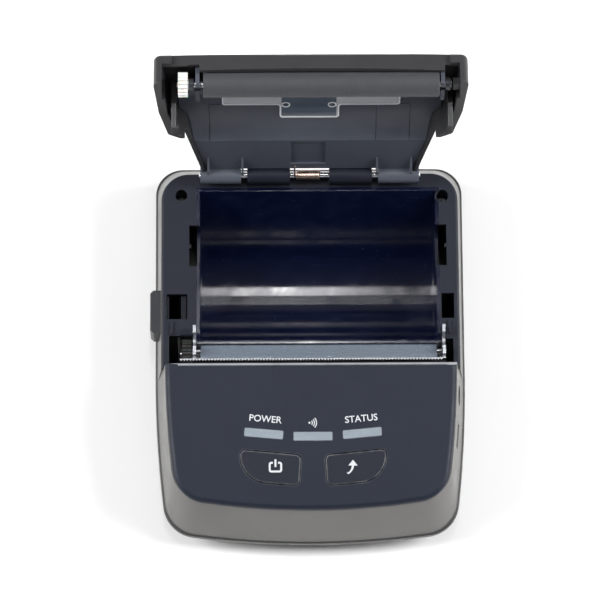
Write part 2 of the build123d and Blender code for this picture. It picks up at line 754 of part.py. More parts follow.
def prism(x, corners):
    """Polygon in the upright plane, extruded along X."""
    with BuildPart() as body:
        with BuildSketch(upright(BODY, x[0])):
            with BuildLine():
                Polyline(*corners, close=True)
            make_face()
        extrude(amount=x[1] - x[0])
    return body.part


def print_head():
    """Ceramic strip that heats the paper."""
    face = [head_point(HEAD_TOP_Y, 0), head_point(HEAD_LOW_Y, 0)]
    back = [head_point(HEAD_LOW_Y, HEAD_T), head_point(HEAD_TOP_Y, HEAD_T)]
    return prism(HEAD_X, face + back)


def head_heatsink():
    """Aluminium bar under the ceramic, with the two pivot pins it rocks on."""
    top = head_point(HEAD_TOP_Y, HEAD_T)
    low = head_point(HEAD_LOW_Y, HEAD_T)
    with BuildPart() as sink:
        add(prism(HEAD_X, [top, low, (low[0] - 0.6, 27.8), (top[0], 27.8)]))
        add(rod(BODY, (PLATE_LEFT - 0.1, HEAD_X[0]), *HEAD_PIVOT, HEAD_PIN_R))
        add(rod(BODY, (HEAD_X[1], PLATE_RIGHT + PLATE_T + 0.4), *HEAD_PIVOT, HEAD_PIN_R))
    return sink.part


def follow(centre, reach, angle):
    """Point at a distance and angle from a centre."""
    return (centre[0] + reach * cos(radians(angle)), centre[1] + reach * sin(radians(angle)))


def pitch_r(teeth):
    return GEAR_MODULE * teeth / 2


DRIVE_CENTRE = (DRIVE["y"], DRIVE["z"])
IDLER_CENTRE = follow(DRIVE_CENTRE, pitch_r(DRIVE["teeth"]) + pitch_r(IDLER["teeth"]), IDLER["angle"])
PINION_CENTRE = follow(IDLER_CENTRE, pitch_r(IDLER["teeth"]) + pitch_r(PINION["teeth"]), PINION["angle"])


def meshed_angle(centre, teeth, start, other, other_teeth):
    """Angle of a tooth on the second gear that lets it mesh with a first gear whose tooth is at start."""
    towards = degrees(atan2(other[1] - centre[1], other[0] - centre[0]))
    share = ((start - towards) % (360 / teeth)) / (360 / teeth)
    return towards + 180 - share * 360 / other_teeth + 180 / other_teeth


def gear(frame, centre, teeth, start, bore, hub_r):
    """Spur gear with straight-sided teeth."""
    middle = pitch_r(teeth)
    height = 2.0 * GEAR_MODULE
    with BuildPart() as wheel:
        with BuildSketch(upright(frame, GEAR_LEFT)):
            with Locations(centre):
                Circle(middle - 1.15 * GEAR_MODULE)
                with PolarLocations(middle - 0.1 * GEAR_MODULE, teeth, start):
                    Trapezoid(0.78, height + 0.1, 72, rotation=-90)
                Circle(bore, mode=Mode.SUBTRACT)
        extrude(amount=GEAR_RIGHT - GEAR_LEFT)
        with BuildSketch(upright(frame, GEAR_RIGHT)):
            with Locations(centre):
                Circle(hub_r)
                Circle(bore, mode=Mode.SUBTRACT)
        extrude(amount=0.3)
    return wheel.part


DRIVE_START = 0.0
IDLER_START = meshed_angle(DRIVE_CENTRE, DRIVE["teeth"], DRIVE_START, IDLER_CENTRE, IDLER["teeth"])
PINION_START = meshed_angle(IDLER_CENTRE, IDLER["teeth"], IDLER_START, PINION_CENTRE, PINION["teeth"])
STUD_R = 0.8
STUD_FIT = 0.05


def gear_studs():
    """Steel studs that the drive gear and the idler turn on."""
    with BuildPart() as studs:
        for centre in (DRIVE_CENTRE, IDLER_CENTRE):
            add(rod(BODY, (GEAR_LEFT - 0.6, PLATE_LEFT + PLATE_T), *centre, STUD_R))
            add(rod(BODY, (GEAR_LEFT - 0.6, GEAR_LEFT - 0.15), *centre, STUD_R + 0.5))
    return studs.part


def side_plate(x, corners):
    """Steel plate with a slot, open above, that takes a platen bushing."""
    through = (x - 1, x + 2)
    slot_y = (PLATEN_BODY_Y - SLOT_R, PLATEN_BODY_Y + SLOT_R)
    with BuildPart() as plate:
        add(prism((x, x + PLATE_T), corners))
        add(block(BODY, through, slot_y, (PLATEN_BODY_Z, 45)), mode=Mode.SUBTRACT)
        add(rod(BODY, through, PLATEN_BODY_Y, PLATEN_BODY_Z, SLOT_R), mode=Mode.SUBTRACT)
        add(rod(BODY, through, *HEAD_PIVOT, HEAD_PIN_R + 0.06), mode=Mode.SUBTRACT)
    return plate.part


def mechanism_frame():
    """Bent steel: two slotted side plates, a floor and a front wall. The left plate holds the gears."""
    front_horn = [(5.9, 37.9), (-4.6, 37.9), (-4.6, BRACKET_TOP_Z), (BRACKET_Y, BRACKET_TOP_Z)]
    horns = [*front_horn, (BRACKET_Y, BRACKET_FLOOR_Z), (5.9, BRACKET_FLOOR_Z)]
    long_horns = [*front_horn, (BRACKET_Y, 31.4), (-27.5, 31.4), (-27.5, 13.0), (-9.0, 13.0), (5.9, 23.0)]
    across = (PLATE_LEFT, PLATE_RIGHT + PLATE_T)
    with BuildPart() as steel:
        add(side_plate(PLATE_LEFT, long_horns))
        add(side_plate(PLATE_RIGHT, horns))
        add(block(BODY, across, (BRACKET_Y, 0.6), (BRACKET_FLOOR_Z, BRACKET_FLOOR_Z + 0.8)))
        add(block(BODY, across, (BRACKET_Y, BRACKET_Y + 0.8), (BRACKET_FLOOR_Z, BRACKET_TOP_Z)))
        for centre in (DRIVE_CENTRE, IDLER_CENTRE):
            add(rod(BODY, (PLATE_LEFT - 1, PLATE_LEFT + 2), *centre, STUD_R), mode=Mode.SUBTRACT)
        add(rod(BODY, (PLATE_LEFT - 1, PLATE_LEFT + 2), *PINION_CENTRE, 3.0), mode=Mode.SUBTRACT)
    return steel.part


def feed_motor():
    """Stepper motor with its shaft, bolted to the left plate."""
    with BuildPart() as motor:
        add(rod(BODY, (PLATE_LEFT + PLATE_T, -26.8), *PINION_CENTRE, MOTOR_R))
        add(rod(BODY, (PLATE_LEFT, PLATE_LEFT + PLATE_T), *PINION_CENTRE, 2.9))
        add(rod(BODY, (PLATE_LEFT - 1, -30.0), *PINION_CENTRE, 0.8), mode=Mode.SUBTRACT)
    return motor.part


def motor_pinion():
    """Brass pinion on the motor's shaft."""
    with BuildPart() as pinion:
        add(gear(BODY, PINION_CENTRE, PINION["teeth"], PINION_START, 0.75, 1.7))
        add(rod(BODY, (GEAR_LEFT, -31.0), *PINION_CENTRE, 0.75))
    return pinion.part


def tear_bar():
    """Bent steel strip with a row of cutting teeth that point to the front."""
    top = 38.2
    x = (-45.0, PLATE_RIGHT + PLATE_T)
    rear, root, front, tip = -6.05, -6.2, -6.3, -6.9
    pitch = 1.05
    count = int((x[1] - x[0]) / pitch)
    with BuildPart() as bar:
        add(block(BODY, x, (front, rear), (BRACKET_TOP_Z, top)))
        add(block(BODY, (PLATE_LEFT, PLATE_RIGHT + PLATE_T), (BRACKET_Y, rear),
                  (BRACKET_TOP_Z, BRACKET_TOP_Z + 0.4)))
        outline = [(x[0], rear)]
        for tooth in range(count):
            left = x[0] + pitch * tooth
            outline += [(left, root), (left + pitch / 2, tip)]
        outline += [(x[0] + pitch * count, root), (x[0] + pitch * count, rear)]
        with BuildSketch(level(BODY, top - 0.4)):
            with BuildLine():
                Polyline(*outline, close=True)
            make_face()
        extrude(amount=0.4)
    return bar.part


# ---------------------------------------------------------------- lid release

BUTTON_FACE_X = -55.5
FLANGE_X = (-49.6, -48.9)


def release_button():
    """Push button in the left side, with bevelled ends."""
    y = (BUTTON_WINDOW_Y[0] + 0.3, BUTTON_WINDOW_Y[1] - 0.3)
    z = (BUTTON_WINDOW_Z[0] + 0.3, BUTTON_WINDOW_Z[1] - 0.3)
    with BuildPart() as button:
        add(block(BODY, (BUTTON_FACE_X, FLANGE_X[0]), y, z))
        face = button.faces().sort_by(Axis.X)[0]
        chamfer(face.edges().filter_by(Axis.Z), 1.1)
        fillet(button.faces().sort_by(Axis.X)[0].edges(), 0.3)
        for row in range(3):
            low = z[0] + 3.4 + row * 2.2
            add(block(BODY, (BUTTON_FACE_X - 1, BUTTON_FACE_X + 0.3), (y[0] + 4, y[1] - 4), (low, low + 0.7)),
                mode=Mode.SUBTRACT)
    return button.part


def latch_slider():
    """Plate under the deck that moves with the button; the far edge of its window catches the lid's hook."""
    with BuildPart() as slider:
        add(block(BODY, FLANGE_X, SLIDER_Y, (15.0, SLIDER_Z[1])))
        add(block(BODY, FLANGE_X, (4.8, 22.2), (15.0, 25.6)))
        add(block(BODY, (FLANGE_X[0], -42.9), SLIDER_Y, SLIDER_Z))
        add(block(BODY, (FLANGE_X[1], -44.7), (8.6, 18.7), (25, 35)), mode=Mode.SUBTRACT)
    return slider.part


def coil(origin, direction, length, radius, wire, turns):
    """Round wire spring along a direction."""
    with BuildPart() as spring:
        with BuildLine() as path:
            height = length - 2 * wire
            Helix(pitch=height / turns, height=height, radius=radius, center=origin, direction=direction)
        with BuildSketch(Plane(path.line @ 0, z_dir=path.line % 0)):
            Circle(wire)
        sweep(is_frenet=True)
    return spring.part


def release_spring():
    """Small coil spring that pushes the slider back out."""
    wire = 0.2
    return coil(BODY.from_local_coords((-42.9 + wire, 19.6, 29.6)), (1, 0, 0), 3.5, 0.8, wire, 4)


def head_springs():
    """Springs between the bracket's front wall and the head."""
    wire = 0.22
    length = head_point(HEAD_TOP_Y, HEAD_T)[0] - (BRACKET_Y + 0.8)
    with BuildPart() as springs:
        for x in (-24.0, 2.75, 29.5):
            start = BODY.from_local_coords((x, BRACKET_Y + 0.8 + wire, 31.0))
            add(coil(start, (0, 1, 0), length, 1.6, wire, 3))
    return springs.part


# ---------------------------------------------------------------- lid

SKIN_T = 1.2
CHEEK_T = 3.0
CHEEK_X = LID_HALF_W - CHEEK_T  # the front lip is cut away between the cheeks
CHEEK_REAR_Y = -31.0
LIP_BOTTOM_Z = 0.4
LIP_HIGH_Z = 2.8  # beside the platen's ends, where the lip leaves room for gear and bearings
NOSE_BOW = 1.8
NOSE_HALF_W = 46.6
PLATE_LOW_Z = 0.6
PLATE_HIGH_Z = 1.8
PLATE_HALF_W = 44.8
LID_REAR_HALF_W = 37.3
KNUCKLE_ROOT_X = 35.5
LID_SHOULDER_Y = -30.4
LID_CROWN_Y = -39.7
LID_CROWN_Z = 8.4
LID_ARC_R = 185.0
LID_PEGS = [(-30.0, -16.0), (30.0, -16.0), (-40.7, -51.8), (40.7, -51.8)]


def lid_outline(side, front, rear_y):
    """Plan of the lid: wide at the front, drawn in behind the cheeks, narrow at the hinge."""
    front_y = LID_FRONT + 0.6 + front
    rear_side = side * 0.4
    rear_half_w = LID_REAR_HALF_W - rear_side
    cheek = [(LID_HALF_W - side, front_y), (51.2 - side, -47.0), (48.3 - side, -33.4)]
    half = [*cheek, (43.2 - rear_side, LID_SHOULDER_Y), (rear_half_w, -4.0), (rear_half_w, rear_y)]
    with BuildSketch() as outline:
        with BuildLine():
            for sign in (-1, 1):
                Polyline(*[(sign * x, y) for x, y in half])
            Line((-half[-1][0], rear_y), (half[-1][0], rear_y))
            ThreePointArc((-half[0][0], half[0][1]), (0, LID_FRONT + front), half[0])
        make_face()
        fillet(outline.vertices().group_by(Axis.Y)[0], 2.6 - side * 0.3)
        rounded = [v for v in outline.vertices() if LID_SHOULDER_Y - 8 < v.Y < LID_SHOULDER_Y + 1]
        fillet(rounded, 2.0)
    return outline.sketch


def lid_top(y):
    """Height of the lid's outer skin, an arc with its top at LID_CROWN_Y."""
    return LID_CROWN_Z - LID_ARC_R + sqrt(LID_ARC_R ** 2 - (y - LID_CROWN_Y) ** 2)


def lid_block(side, front, rear_y, drop):
    """The lid's plan, up to an arched top that lies drop below the outer skin."""
    with BuildPart() as body:
        with BuildSketch(level(LID, SKIRT_Z)):
            add(lid_outline(side, front, rear_y))
        extrude(amount=16)
        with BuildSketch(upright(LID, -60)):
            with BuildLine():
                rear, middle, nose = ((y, lid_top(y) - drop) for y in (6.0, -34.0, -70.0))
                ThreePointArc(rear, middle, nose)
                Polyline(nose, (-70.0, -8.0), (6.0, -8.0), rear)
            make_face()
        extrude(amount=120, mode=Mode.INTERSECT)
    return body.part


def nose_cutter():
    """What is taken off the bowed front between the cheeks, which stand proud of it."""
    end = LID_FRONT + NOSE_BOW
    outside = [(NOSE_HALF_W, end), (NOSE_HALF_W, -70), (-NOSE_HALF_W, -70), (-NOSE_HALF_W, end)]
    with BuildPart() as cutter:
        with BuildSketch(level(LID, -8)):
            with BuildLine():
                ThreePointArc((-NOSE_HALF_W, end), (0, LID_FRONT), (NOSE_HALF_W, end))
                Polyline(*outside)
            make_face()
        extrude(amount=20)
    return cutter.part


def lid_cover():
    """Outer shell of the lid, with side cheeks, pegs for the inner plate and two hooks for the latch."""
    with BuildPart() as cover:
        add(lid_block(0, 0, -0.5, 0))
        skin = cover.faces().sort_by(SortBy.AREA)[-1]
        rear_middle = LID.from_local_coords((0, -0.5, lid_top(-0.5)))
        fillet(skin.edges().sort_by_distance(rear_middle)[1:], 1.8)
        add(nose_cutter(), mode=Mode.SUBTRACT)
        add(lid_block(CHEEK_T, 2.2, 3.0, SKIN_T), mode=Mode.SUBTRACT)
        # the front lip and the narrow rear end stop higher up than the cheeks
        add(block(LID, (-CHEEK_X, CHEEK_X), (-70, -55), (SKIRT_Z - 1, LIP_BOTTOM_Z)), mode=Mode.SUBTRACT)
        for x in ((-CHEEK_X, FORKS[0][1]), (FORKS[1][1], CHEEK_X)):
            add(block(LID, x, (-70, -55), (SKIRT_Z - 1, LIP_HIGH_Z)), mode=Mode.SUBTRACT)
        add(block(LID, (-60, 60), (CHEEK_REAR_Y, 4), (SKIRT_Z - 1, -0.5)), mode=Mode.SUBTRACT)
        add(rod(LID, (-60, 60), 0, 0, KNUCKLE_R + 0.4), mode=Mode.SUBTRACT)
        for x, y in LID_PEGS:
            add(column(LID, x, y, (PLATE_HIGH_Z, lid_top(y) - 0.6), 1.8))
        for x in (-46.9, 46.2):
            add(hook(x))
        add(block(LID, (-46.9, -44.3), (-46.6, -43.0), (-10.5, -9.1)))
        # stop at the right end of the platen shaft
        add(block(LID, (47.5, LID_HALF_W - 1.0), (-60.2, -57.2), (-2.8, 0.2)))
    return cover.part


def hook(x):
    """Tapered arm that hangs from the lid's skin."""
    root = [(y, lid_top(y) - 0.5) for y in (-50.0, -42.0)]
    with BuildPart() as arm:
        with BuildSketch(upright(LID, x)):
            with BuildLine():
                Polyline(*root, (-43.0, -10.5), (-46.6, -10.5), (-50.0, -3.0), close=True)
            make_face()
        extrude(amount=1.6)
    return arm.part


def roll_arc(radius, z):
    """Points where an arc round the shut lid's roll passes a height, and the arc's highest point."""
    centre = (ROLL_Y - HINGE_Y, ROLL_Z - HINGE_Z)
    reach = sqrt(radius ** 2 - (z - centre[1]) ** 2)
    return (centre[0] - reach, z), (centre[0], centre[1] + radius), (centre[0] + reach, z)


GUIDE_LIFT = 0.2  # how far the guide's rim stands clear of the roll
GUIDE_RIM = 0.25
GUSSETS = (-35.4, -23.6, 22.9, 34.7)
SCORES = (-34.6, 22.4, 33.9)  # engraved lines along the arch
FORKS = ((-38.6, -37.2), (43.4, 44.8))


def lid_inner_plate():
    """Lining of the lid: an arch over the roll, hinge knuckles, and forks that hold the platen shaft."""
    with BuildPart() as plate:
        with BuildSketch(upright(LID, -PLATE_HALF_W)):
            with BuildLine():
                low = roll_arc(ROLL_R + 0.8, PLATE_LOW_Z)
                high = roll_arc(ROLL_R + 1.5, PLATE_HIGH_Z)
                Polyline(high[0], (-53.4, PLATE_HIGH_Z), (-53.4, PLATE_LOW_Z), low[0])
                ThreePointArc(*low)
                Polyline(low[2], (-3.4, PLATE_LOW_Z), (-3.4, PLATE_HIGH_Z), high[2])
                ThreePointArc(*high)
            make_face()
        extrude(amount=2 * PLATE_HALF_W)
        with BuildSketch(level(LID, -10)):
            add(lid_outline(CHEEK_T + 0.4, 0, -3.4))
        extrude(amount=30, mode=Mode.INTERSECT)
        add(block(LID, (-6.7, 5.5), (-20.0, -6.5), (0, PLATE_LOW_Z + 0.7)), mode=Mode.SUBTRACT)
        for x in SCORES:
            add(arch_strip((x, x + 0.35), -16.0, 52.0, ROLL_R + 0.7, ROLL_R + 1.0), mode=Mode.SUBTRACT)
        add(arch_strip((SCORES[0], SCORES[-1]), 1.2, 2.2, ROLL_R + 0.7, ROLL_R + 1.0), mode=Mode.SUBTRACT)
        for x in LID_KNUCKLES:
            root = (max(x[0], -KNUCKLE_ROOT_X), min(x[1], KNUCKLE_ROOT_X))
            add(block(LID, root, (-4.5, 0), (PLATE_LOW_Z, 2.6)))
            add(rod(LID, x, 0, 0, KNUCKLE_R))
            add(rod(LID, (x[0] - 1, x[1] + 1), 0, 0, PIN_R + 0.05), mode=Mode.SUBTRACT)
        for x in GUSSETS:
            add(gusset(x))
        for x in FORKS:
            add(block(LID, x, (-62.4, -52.0), (-3.4, 4.0)))
            through = (x[0] - 1, x[1] + 1)
            add(rod(LID, through, PLATEN_Y, PLATEN_Z, JOURNAL_R + 0.05), mode=Mode.SUBTRACT)
            add(block(LID, through, (PLATEN_Y - 0.85, PLATEN_Y + 0.85), (-5, PLATEN_Z)), mode=Mode.SUBTRACT)
    return plate.part


def gusset(x):
    with BuildPart() as rib:
        with BuildSketch(upright(LID, x)):
            with BuildLine():
                Polyline((-10.5, PLATE_LOW_Z), (-3.0, PLATE_LOW_Z), (-3.0, -1.6), (-4.2, -1.6), close=True)
            make_face()
        extrude(amount=0.7)
    return rib.part


def arch_strip(x, from_angle, to_angle, inner, outer):
    """Strip bent round the roll's axis; angles run from straight up towards the hinge."""
    centre = (ROLL_Y - HINGE_Y, ROLL_Z - HINGE_Z)
    middle = (from_angle + to_angle) / 2

    def at(radius, angle):
        return (centre[0] + radius * sin(radians(angle)), centre[1] + radius * cos(radians(angle)))

    with BuildPart() as strip:
        with BuildSketch(upright(LID, x[0])):
            with BuildLine():
                ThreePointArc(at(outer, from_angle), at(outer, middle), at(outer, to_angle))
                Line(at(outer, to_angle), at(inner, to_angle))
                ThreePointArc(at(inner, to_angle), at(inner, middle), at(inner, from_angle))
                Line(at(inner, from_angle), at(outer, from_angle))
            make_face()
        extrude(amount=x[1] - x[0])
    return strip.part


def guide_outline(inset):
    """Plan of the paper guide: a long bar behind the platen, and a tab towards the hinge."""
    with BuildSketch() as outline:
        with Locations((0.3, -39.4)):
            Rectangle(60.6, 8.0)
        with Locations((-0.25, -33.0)):
            Rectangle(20.3, 7.6)
        fillet(outline.vertices(), 1.1)
        offset(amount=-inset)
    return outline.sketch


def guide_layer(inset, inner, outer):
    """The guide's plan, bent to the arch between two radii."""
    with BuildPart() as layer:
        add(arch_strip((-32.0, 32.0), -26.0, 22.0, inner, outer))
        with BuildSketch(level(LID, -4)):
            add(guide_outline(inset))
        extrude(amount=12, mode=Mode.INTERSECT)
    return layer.part


def paper_guide():
    """Clear guide on the arch, with a raised rim and two round bosses."""
    rim_z = ROLL_Z - HINGE_Z + ROLL_R + GUIDE_LIFT
    with BuildPart() as guide:
        add(guide_layer(0, ROLL_R + GUIDE_LIFT, ROLL_R + 0.8))
        add(guide_layer(0.45, ROLL_R - 1, ROLL_R + GUIDE_LIFT + GUIDE_RIM), mode=Mode.SUBTRACT)
        for x in (-8.3, 7.5):
            add(column(LID, x, -35.4, (rim_z, rim_z + GUIDE_RIM + 0.1), 1.5))
            add(column(LID, x, -35.4, (rim_z - 1, rim_z + GUIDE_RIM - 0.05), 1.1), mode=Mode.SUBTRACT)
    return guide.part


BUSHING_X = ((PLATE_LEFT - 0.3, PLATE_LEFT + PLATE_T + 0.3), (PLATE_RIGHT - 0.3, PLATE_RIGHT + PLATE_T + 0.3))


def platen_bushings():
    """Plastic bushings on the shaft that drop into the body's slotted plates."""
    with BuildPart() as bushings:
        for x in BUSHING_X:
            add(rod(LID, x, PLATEN_Y, PLATEN_Z, BUSHING_R))
            add(rod(LID, (x[0] - 1, x[1] + 1), PLATEN_Y, PLATEN_Z, JOURNAL_R + 0.05), mode=Mode.SUBTRACT)
    return bushings.part


ROLLER_X = (-36.0, 43.0)


def platen_shaft():
    """Steel shaft, thinner where it runs in forks and bushings."""
    with BuildPart() as shaft:
        add(rod(LID, (-45.0, 47.3), PLATEN_Y, PLATEN_Z, JOURNAL_R))
        chamfer(shaft.edges().filter_by(GeomType.CIRCLE), 0.3)
        add(rod(LID, ROLLER_X, PLATEN_Y, PLATEN_Z, SHAFT_R))
    return shaft.part


def platen_roller():
    """Rubber roller that presses the paper on the head."""
    with BuildPart() as roller:
        add(rod(LID, ROLLER_X, PLATEN_Y, PLATEN_Z, PLATEN_R))
        fillet(roller.edges().filter_by(GeomType.CIRCLE), 0.3)
        add(rod(LID, (ROLLER_X[0] - 1, ROLLER_X[1] + 1), PLATEN_Y, PLATEN_Z, SHAFT_R), mode=Mode.SUBTRACT)
    return roller.part


def shaft_clips():
    """Open retaining rings beside the left fork and the right bushing."""
    with BuildPart() as clips:
        for x in ((-37.1, -36.5), (46.7, 47.1)):
            add(rod(LID, x, PLATEN_Y, PLATEN_Z, 1.8))
            add(rod(LID, (x[0] - 1, x[1] + 1), PLATEN_Y, PLATEN_Z, JOURNAL_R), mode=Mode.SUBTRACT)
            add(block(LID, (x[0] - 1, x[1] + 1), (PLATEN_Y - 0.6, PLATEN_Y + 0.6), (PLATEN_Z - 4, PLATEN_Z)),
                mode=Mode.SUBTRACT)
    return clips.part


os.makedirs("parts", exist_ok=True)

save(bottom_case(), "bottom_case")
save(side_band(), "side_band")
save(rubber_feet(), "rubber_feet")
save(case_screws(), "case_screws")
save(top_panel(), "top_panel")
save(panel_button(-1), "power_button")
save(panel_button(1), "feed_button")
for light, place in LIGHTS.items():
    save(light_pipe(*place), light)
save(main_board(), "main_board")
save(board_screws(), "board_screws")
save(board_chips(), "board_chips")
save(wireless_module(), "wireless_module")
save(tact_switches(), "tact_switches")
save(status_leds(), "status_leds")
save(usb_socket(), "usb_socket")
save(dc_jack(), "dc_jack")
save(battery_case(), "battery_case")
save(battery_cells(), "battery_cells")
save(battery_cover(), "battery_cover")
save(battery_contacts(), "battery_contacts")
save(inner_frame(), "inner_frame")
save(frame_screws(), "frame_screws")
save(paper_tray(), "paper_tray")
save(paper_sensor(), "paper_sensor")
save(hinge_pin(), "hinge_pin")
save(hinge_spring(), "hinge_spring")
save(spring_leg(), "spring_leg")
save(mechanism_frame(), "mechanism_frame")
save(tear_bar(), "tear_bar")
save(print_head(), "print_head")
save(head_heatsink(), "head_heatsink")
save(head_springs(), "head_springs")
save(feed_motor(), "feed_motor")
save(motor_pinion(), "motor_pinion")
save(gear(BODY, IDLER_CENTRE, IDLER["teeth"], IDLER_START, STUD_R + STUD_FIT, 2.2), "idler_gear")
save(gear(BODY, DRIVE_CENTRE, DRIVE["teeth"], DRIVE_START, STUD_R + STUD_FIT, 2.2), "drive_gear")
save(gear_studs(), "gear_studs")
save(release_button(), "release_button")
save(latch_slider(), "latch_slider")
save(release_spring(), "release_spring")
save(lid_cover(), "lid_cover")
save(lid_inner_plate(), "lid_inner_plate")
save(paper_guide(), "paper_guide")
save(platen_bushings(), "platen_bushings")
save(platen_shaft(), "platen_shaft")
save(platen_roller(), "platen_roller")
save(gear(LID, (PLATEN_Y, PLATEN_Z), PLATEN_TEETH, 0.0, JOURNAL_R, 1.9), "platen_gear")
save(shaft_clips(), "shaft_clips")
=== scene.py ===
"""Looks of the receipt printer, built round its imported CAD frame.

Metres, in the frame's axes: +Z up, -Y towards the control panel, +X to the right. Sizes written with MM
are millimetres. Every finish is a node tree that works in the object's own coordinates.
"""

import json
from math import cos, radians, sin

import bmesh
import bpy
from mathutils import Matrix, Vector
from mathutils.bvhtree import BVHTree


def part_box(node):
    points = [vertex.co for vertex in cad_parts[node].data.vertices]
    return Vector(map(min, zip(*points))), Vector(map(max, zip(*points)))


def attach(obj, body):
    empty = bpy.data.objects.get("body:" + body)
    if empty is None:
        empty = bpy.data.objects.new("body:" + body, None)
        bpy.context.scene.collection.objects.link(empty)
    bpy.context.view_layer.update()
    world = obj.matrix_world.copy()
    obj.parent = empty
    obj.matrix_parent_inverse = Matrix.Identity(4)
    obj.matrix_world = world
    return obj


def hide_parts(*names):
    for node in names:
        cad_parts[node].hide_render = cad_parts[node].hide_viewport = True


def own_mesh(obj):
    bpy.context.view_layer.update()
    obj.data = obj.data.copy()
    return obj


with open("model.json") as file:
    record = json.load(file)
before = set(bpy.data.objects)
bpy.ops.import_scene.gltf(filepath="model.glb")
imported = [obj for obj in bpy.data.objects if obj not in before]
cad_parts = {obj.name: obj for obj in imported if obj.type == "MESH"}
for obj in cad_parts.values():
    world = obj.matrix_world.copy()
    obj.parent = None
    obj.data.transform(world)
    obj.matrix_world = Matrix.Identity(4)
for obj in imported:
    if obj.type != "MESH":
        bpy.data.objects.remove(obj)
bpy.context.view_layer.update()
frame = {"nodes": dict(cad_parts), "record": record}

MM = 0.001
# How far the rounded normal leans from the true one, as a cosine, where an edge starts and where it is full
EDGE_STARTS, EDGE_FULL = 0.995, 0.9
DUST = (0.5, 0.5, 0.5)
WHITE = (1.0, 1.0, 1.0)
NODES = frame["nodes"]


def middle(node):
    """The middle of a CAD node's bounding box."""
    low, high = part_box(node)
    return (low + high) / 2


def add(name, data):
    """A new object in the scene that shows some data."""
    made = bpy.data.objects.new(name, data)
    bpy.context.scene.collection.objects.link(made)
    return made


# ---------------------------------------------------------------- node trees

class Finish:
    """A material under construction, with short names for the nodes that the finishes share."""

    def __init__(self, name):
        self.material = bpy.data.materials.new(name)
        self.material.use_nodes = True
        self.tree = self.material.node_tree
        self.shader = self.tree.nodes["Principled BSDF"]
        self.place = self.node("ShaderNodeTexCoord").outputs["Object"]

    def node(self, kind, **settings):
        """A new node of a kind, with its settings."""
        made = self.tree.nodes.new(kind)
        for key, value in settings.items():
            setattr(made, key, value)
        return made

    def link(self, source, target):
        self.tree.links.new(source, target)

    def set(self, **values):
        """Constant values, on the shader's own sockets."""
        for key, value in values.items():
            socket = self.shader.inputs[key.replace("_", " ")]
            socket.default_value = value

    def stretched(self, stretch):
        """Object coordinates, stretched along each axis."""
        mapping = self.node("ShaderNodeMapping")
        mapping.inputs["Scale"].default_value = stretch
        self.link(self.place, mapping.inputs["Vector"])
        return mapping.outputs["Vector"]

    def noise(self, size, detail=3.0, stretch=(1, 1, 1), distortion=0.0):
        """Noise from 0 to 1 whose lumps are about size metres across."""
        noise = self.node("ShaderNodeTexNoise")
        noise.inputs["Scale"].default_value = 1 / size
        noise.inputs["Detail"].default_value = detail
        noise.inputs["Distortion"].default_value = distortion
        self.link(self.stretched(stretch), noise.inputs["Vector"])
        return noise.outputs["Fac"]

    def cells(self, size, output="Distance"):
        """Cells about size metres across: the distance from each one's middle, or its own colour."""
        cells = self.node("ShaderNodeTexVoronoi")
        cells.inputs["Scale"].default_value = 1 / size
        self.link(self.place, cells.inputs["Vector"])
        return cells.outputs[output]

    def along(self, axis):
        """One object coordinate, in metres."""
        split = self.node("ShaderNodeSeparateXYZ")
        self.link(self.place, split.inputs[0])
        return split.outputs[axis]

    def remap(self, value, low, high, to_low=0.0, to_high=1.0):
        """A value from low to high, spread from to_low to to_high and held within them."""
        remap = self.node("ShaderNodeMapRange", clamp=True)
        self.link(value, remap.inputs["Value"])
        for key, number in (("From Min", low), ("From Max", high), ("To Min", to_low), ("To Max", to_high)):
            remap.inputs[key].default_value = number
        return remap.outputs[0]

    def maths(self, operation, a, b=0.0):
        """One operation on two values; each is a number or a socket."""
        made = self.node("ShaderNodeMath", operation=operation)
        for socket, value in zip(made.inputs, (a, b)):
            if isinstance(value, (int, float)):
                socket.default_value = value
            else:
                self.link(value, socket)
        return made.outputs[0]

    def mix(self, share, a, b):
        """Colour between a and b; each is a colour or a socket."""
        made = self.node("ShaderNodeMix", data_type="RGBA")
        self.link(share, made.inputs["Factor"])
        for socket, value in ((made.inputs[6], a), (made.inputs[7], b)):
            if isinstance(value, tuple):
                socket.default_value = (*value, 1)
            else:
                self.link(value, socket)
        return made.outputs[2]

    def edges(self, radius):
        """About 1 on convex and concave edges, 0 on flat ground, with the rounded normal that shows them."""
        bevel = self.node("ShaderNodeBevel", samples=6)
        bevel.inputs["Radius"].default_value = radius
        normal = self.node("ShaderNodeNewGeometry").outputs["Normal"]
        dot = self.node("ShaderNodeVectorMath", operation="DOT_PRODUCT")
        self.link(bevel.outputs[0], dot.inputs[0])
        self.link(normal, dot.inputs[1])
        return self.remap(dot.outputs["Value"], EDGE_STARTS, EDGE_FULL), bevel.outputs[0]

    def relief(self, heights, base=None):
        """Bumps stacked on one another; each height is (socket, depth in metres)."""
        normal = base
        for height, depth in heights:
            bump = self.node("ShaderNodeBump")
            bump.inputs["Strength"].default_value = 1.0
            bump.inputs["Distance"].default_value = depth
            self.link(height, bump.inputs["Height"])
            if normal is not None:
                self.link(normal, bump.inputs["Normal"])
            normal = bump.outputs[0]
        self.link(normal, self.shader.inputs["Normal"])


def tint(colour, factor):
    """The colour, lighter or darker by a factor."""
    return tuple(min(1.0, channel * factor) for channel in colour)


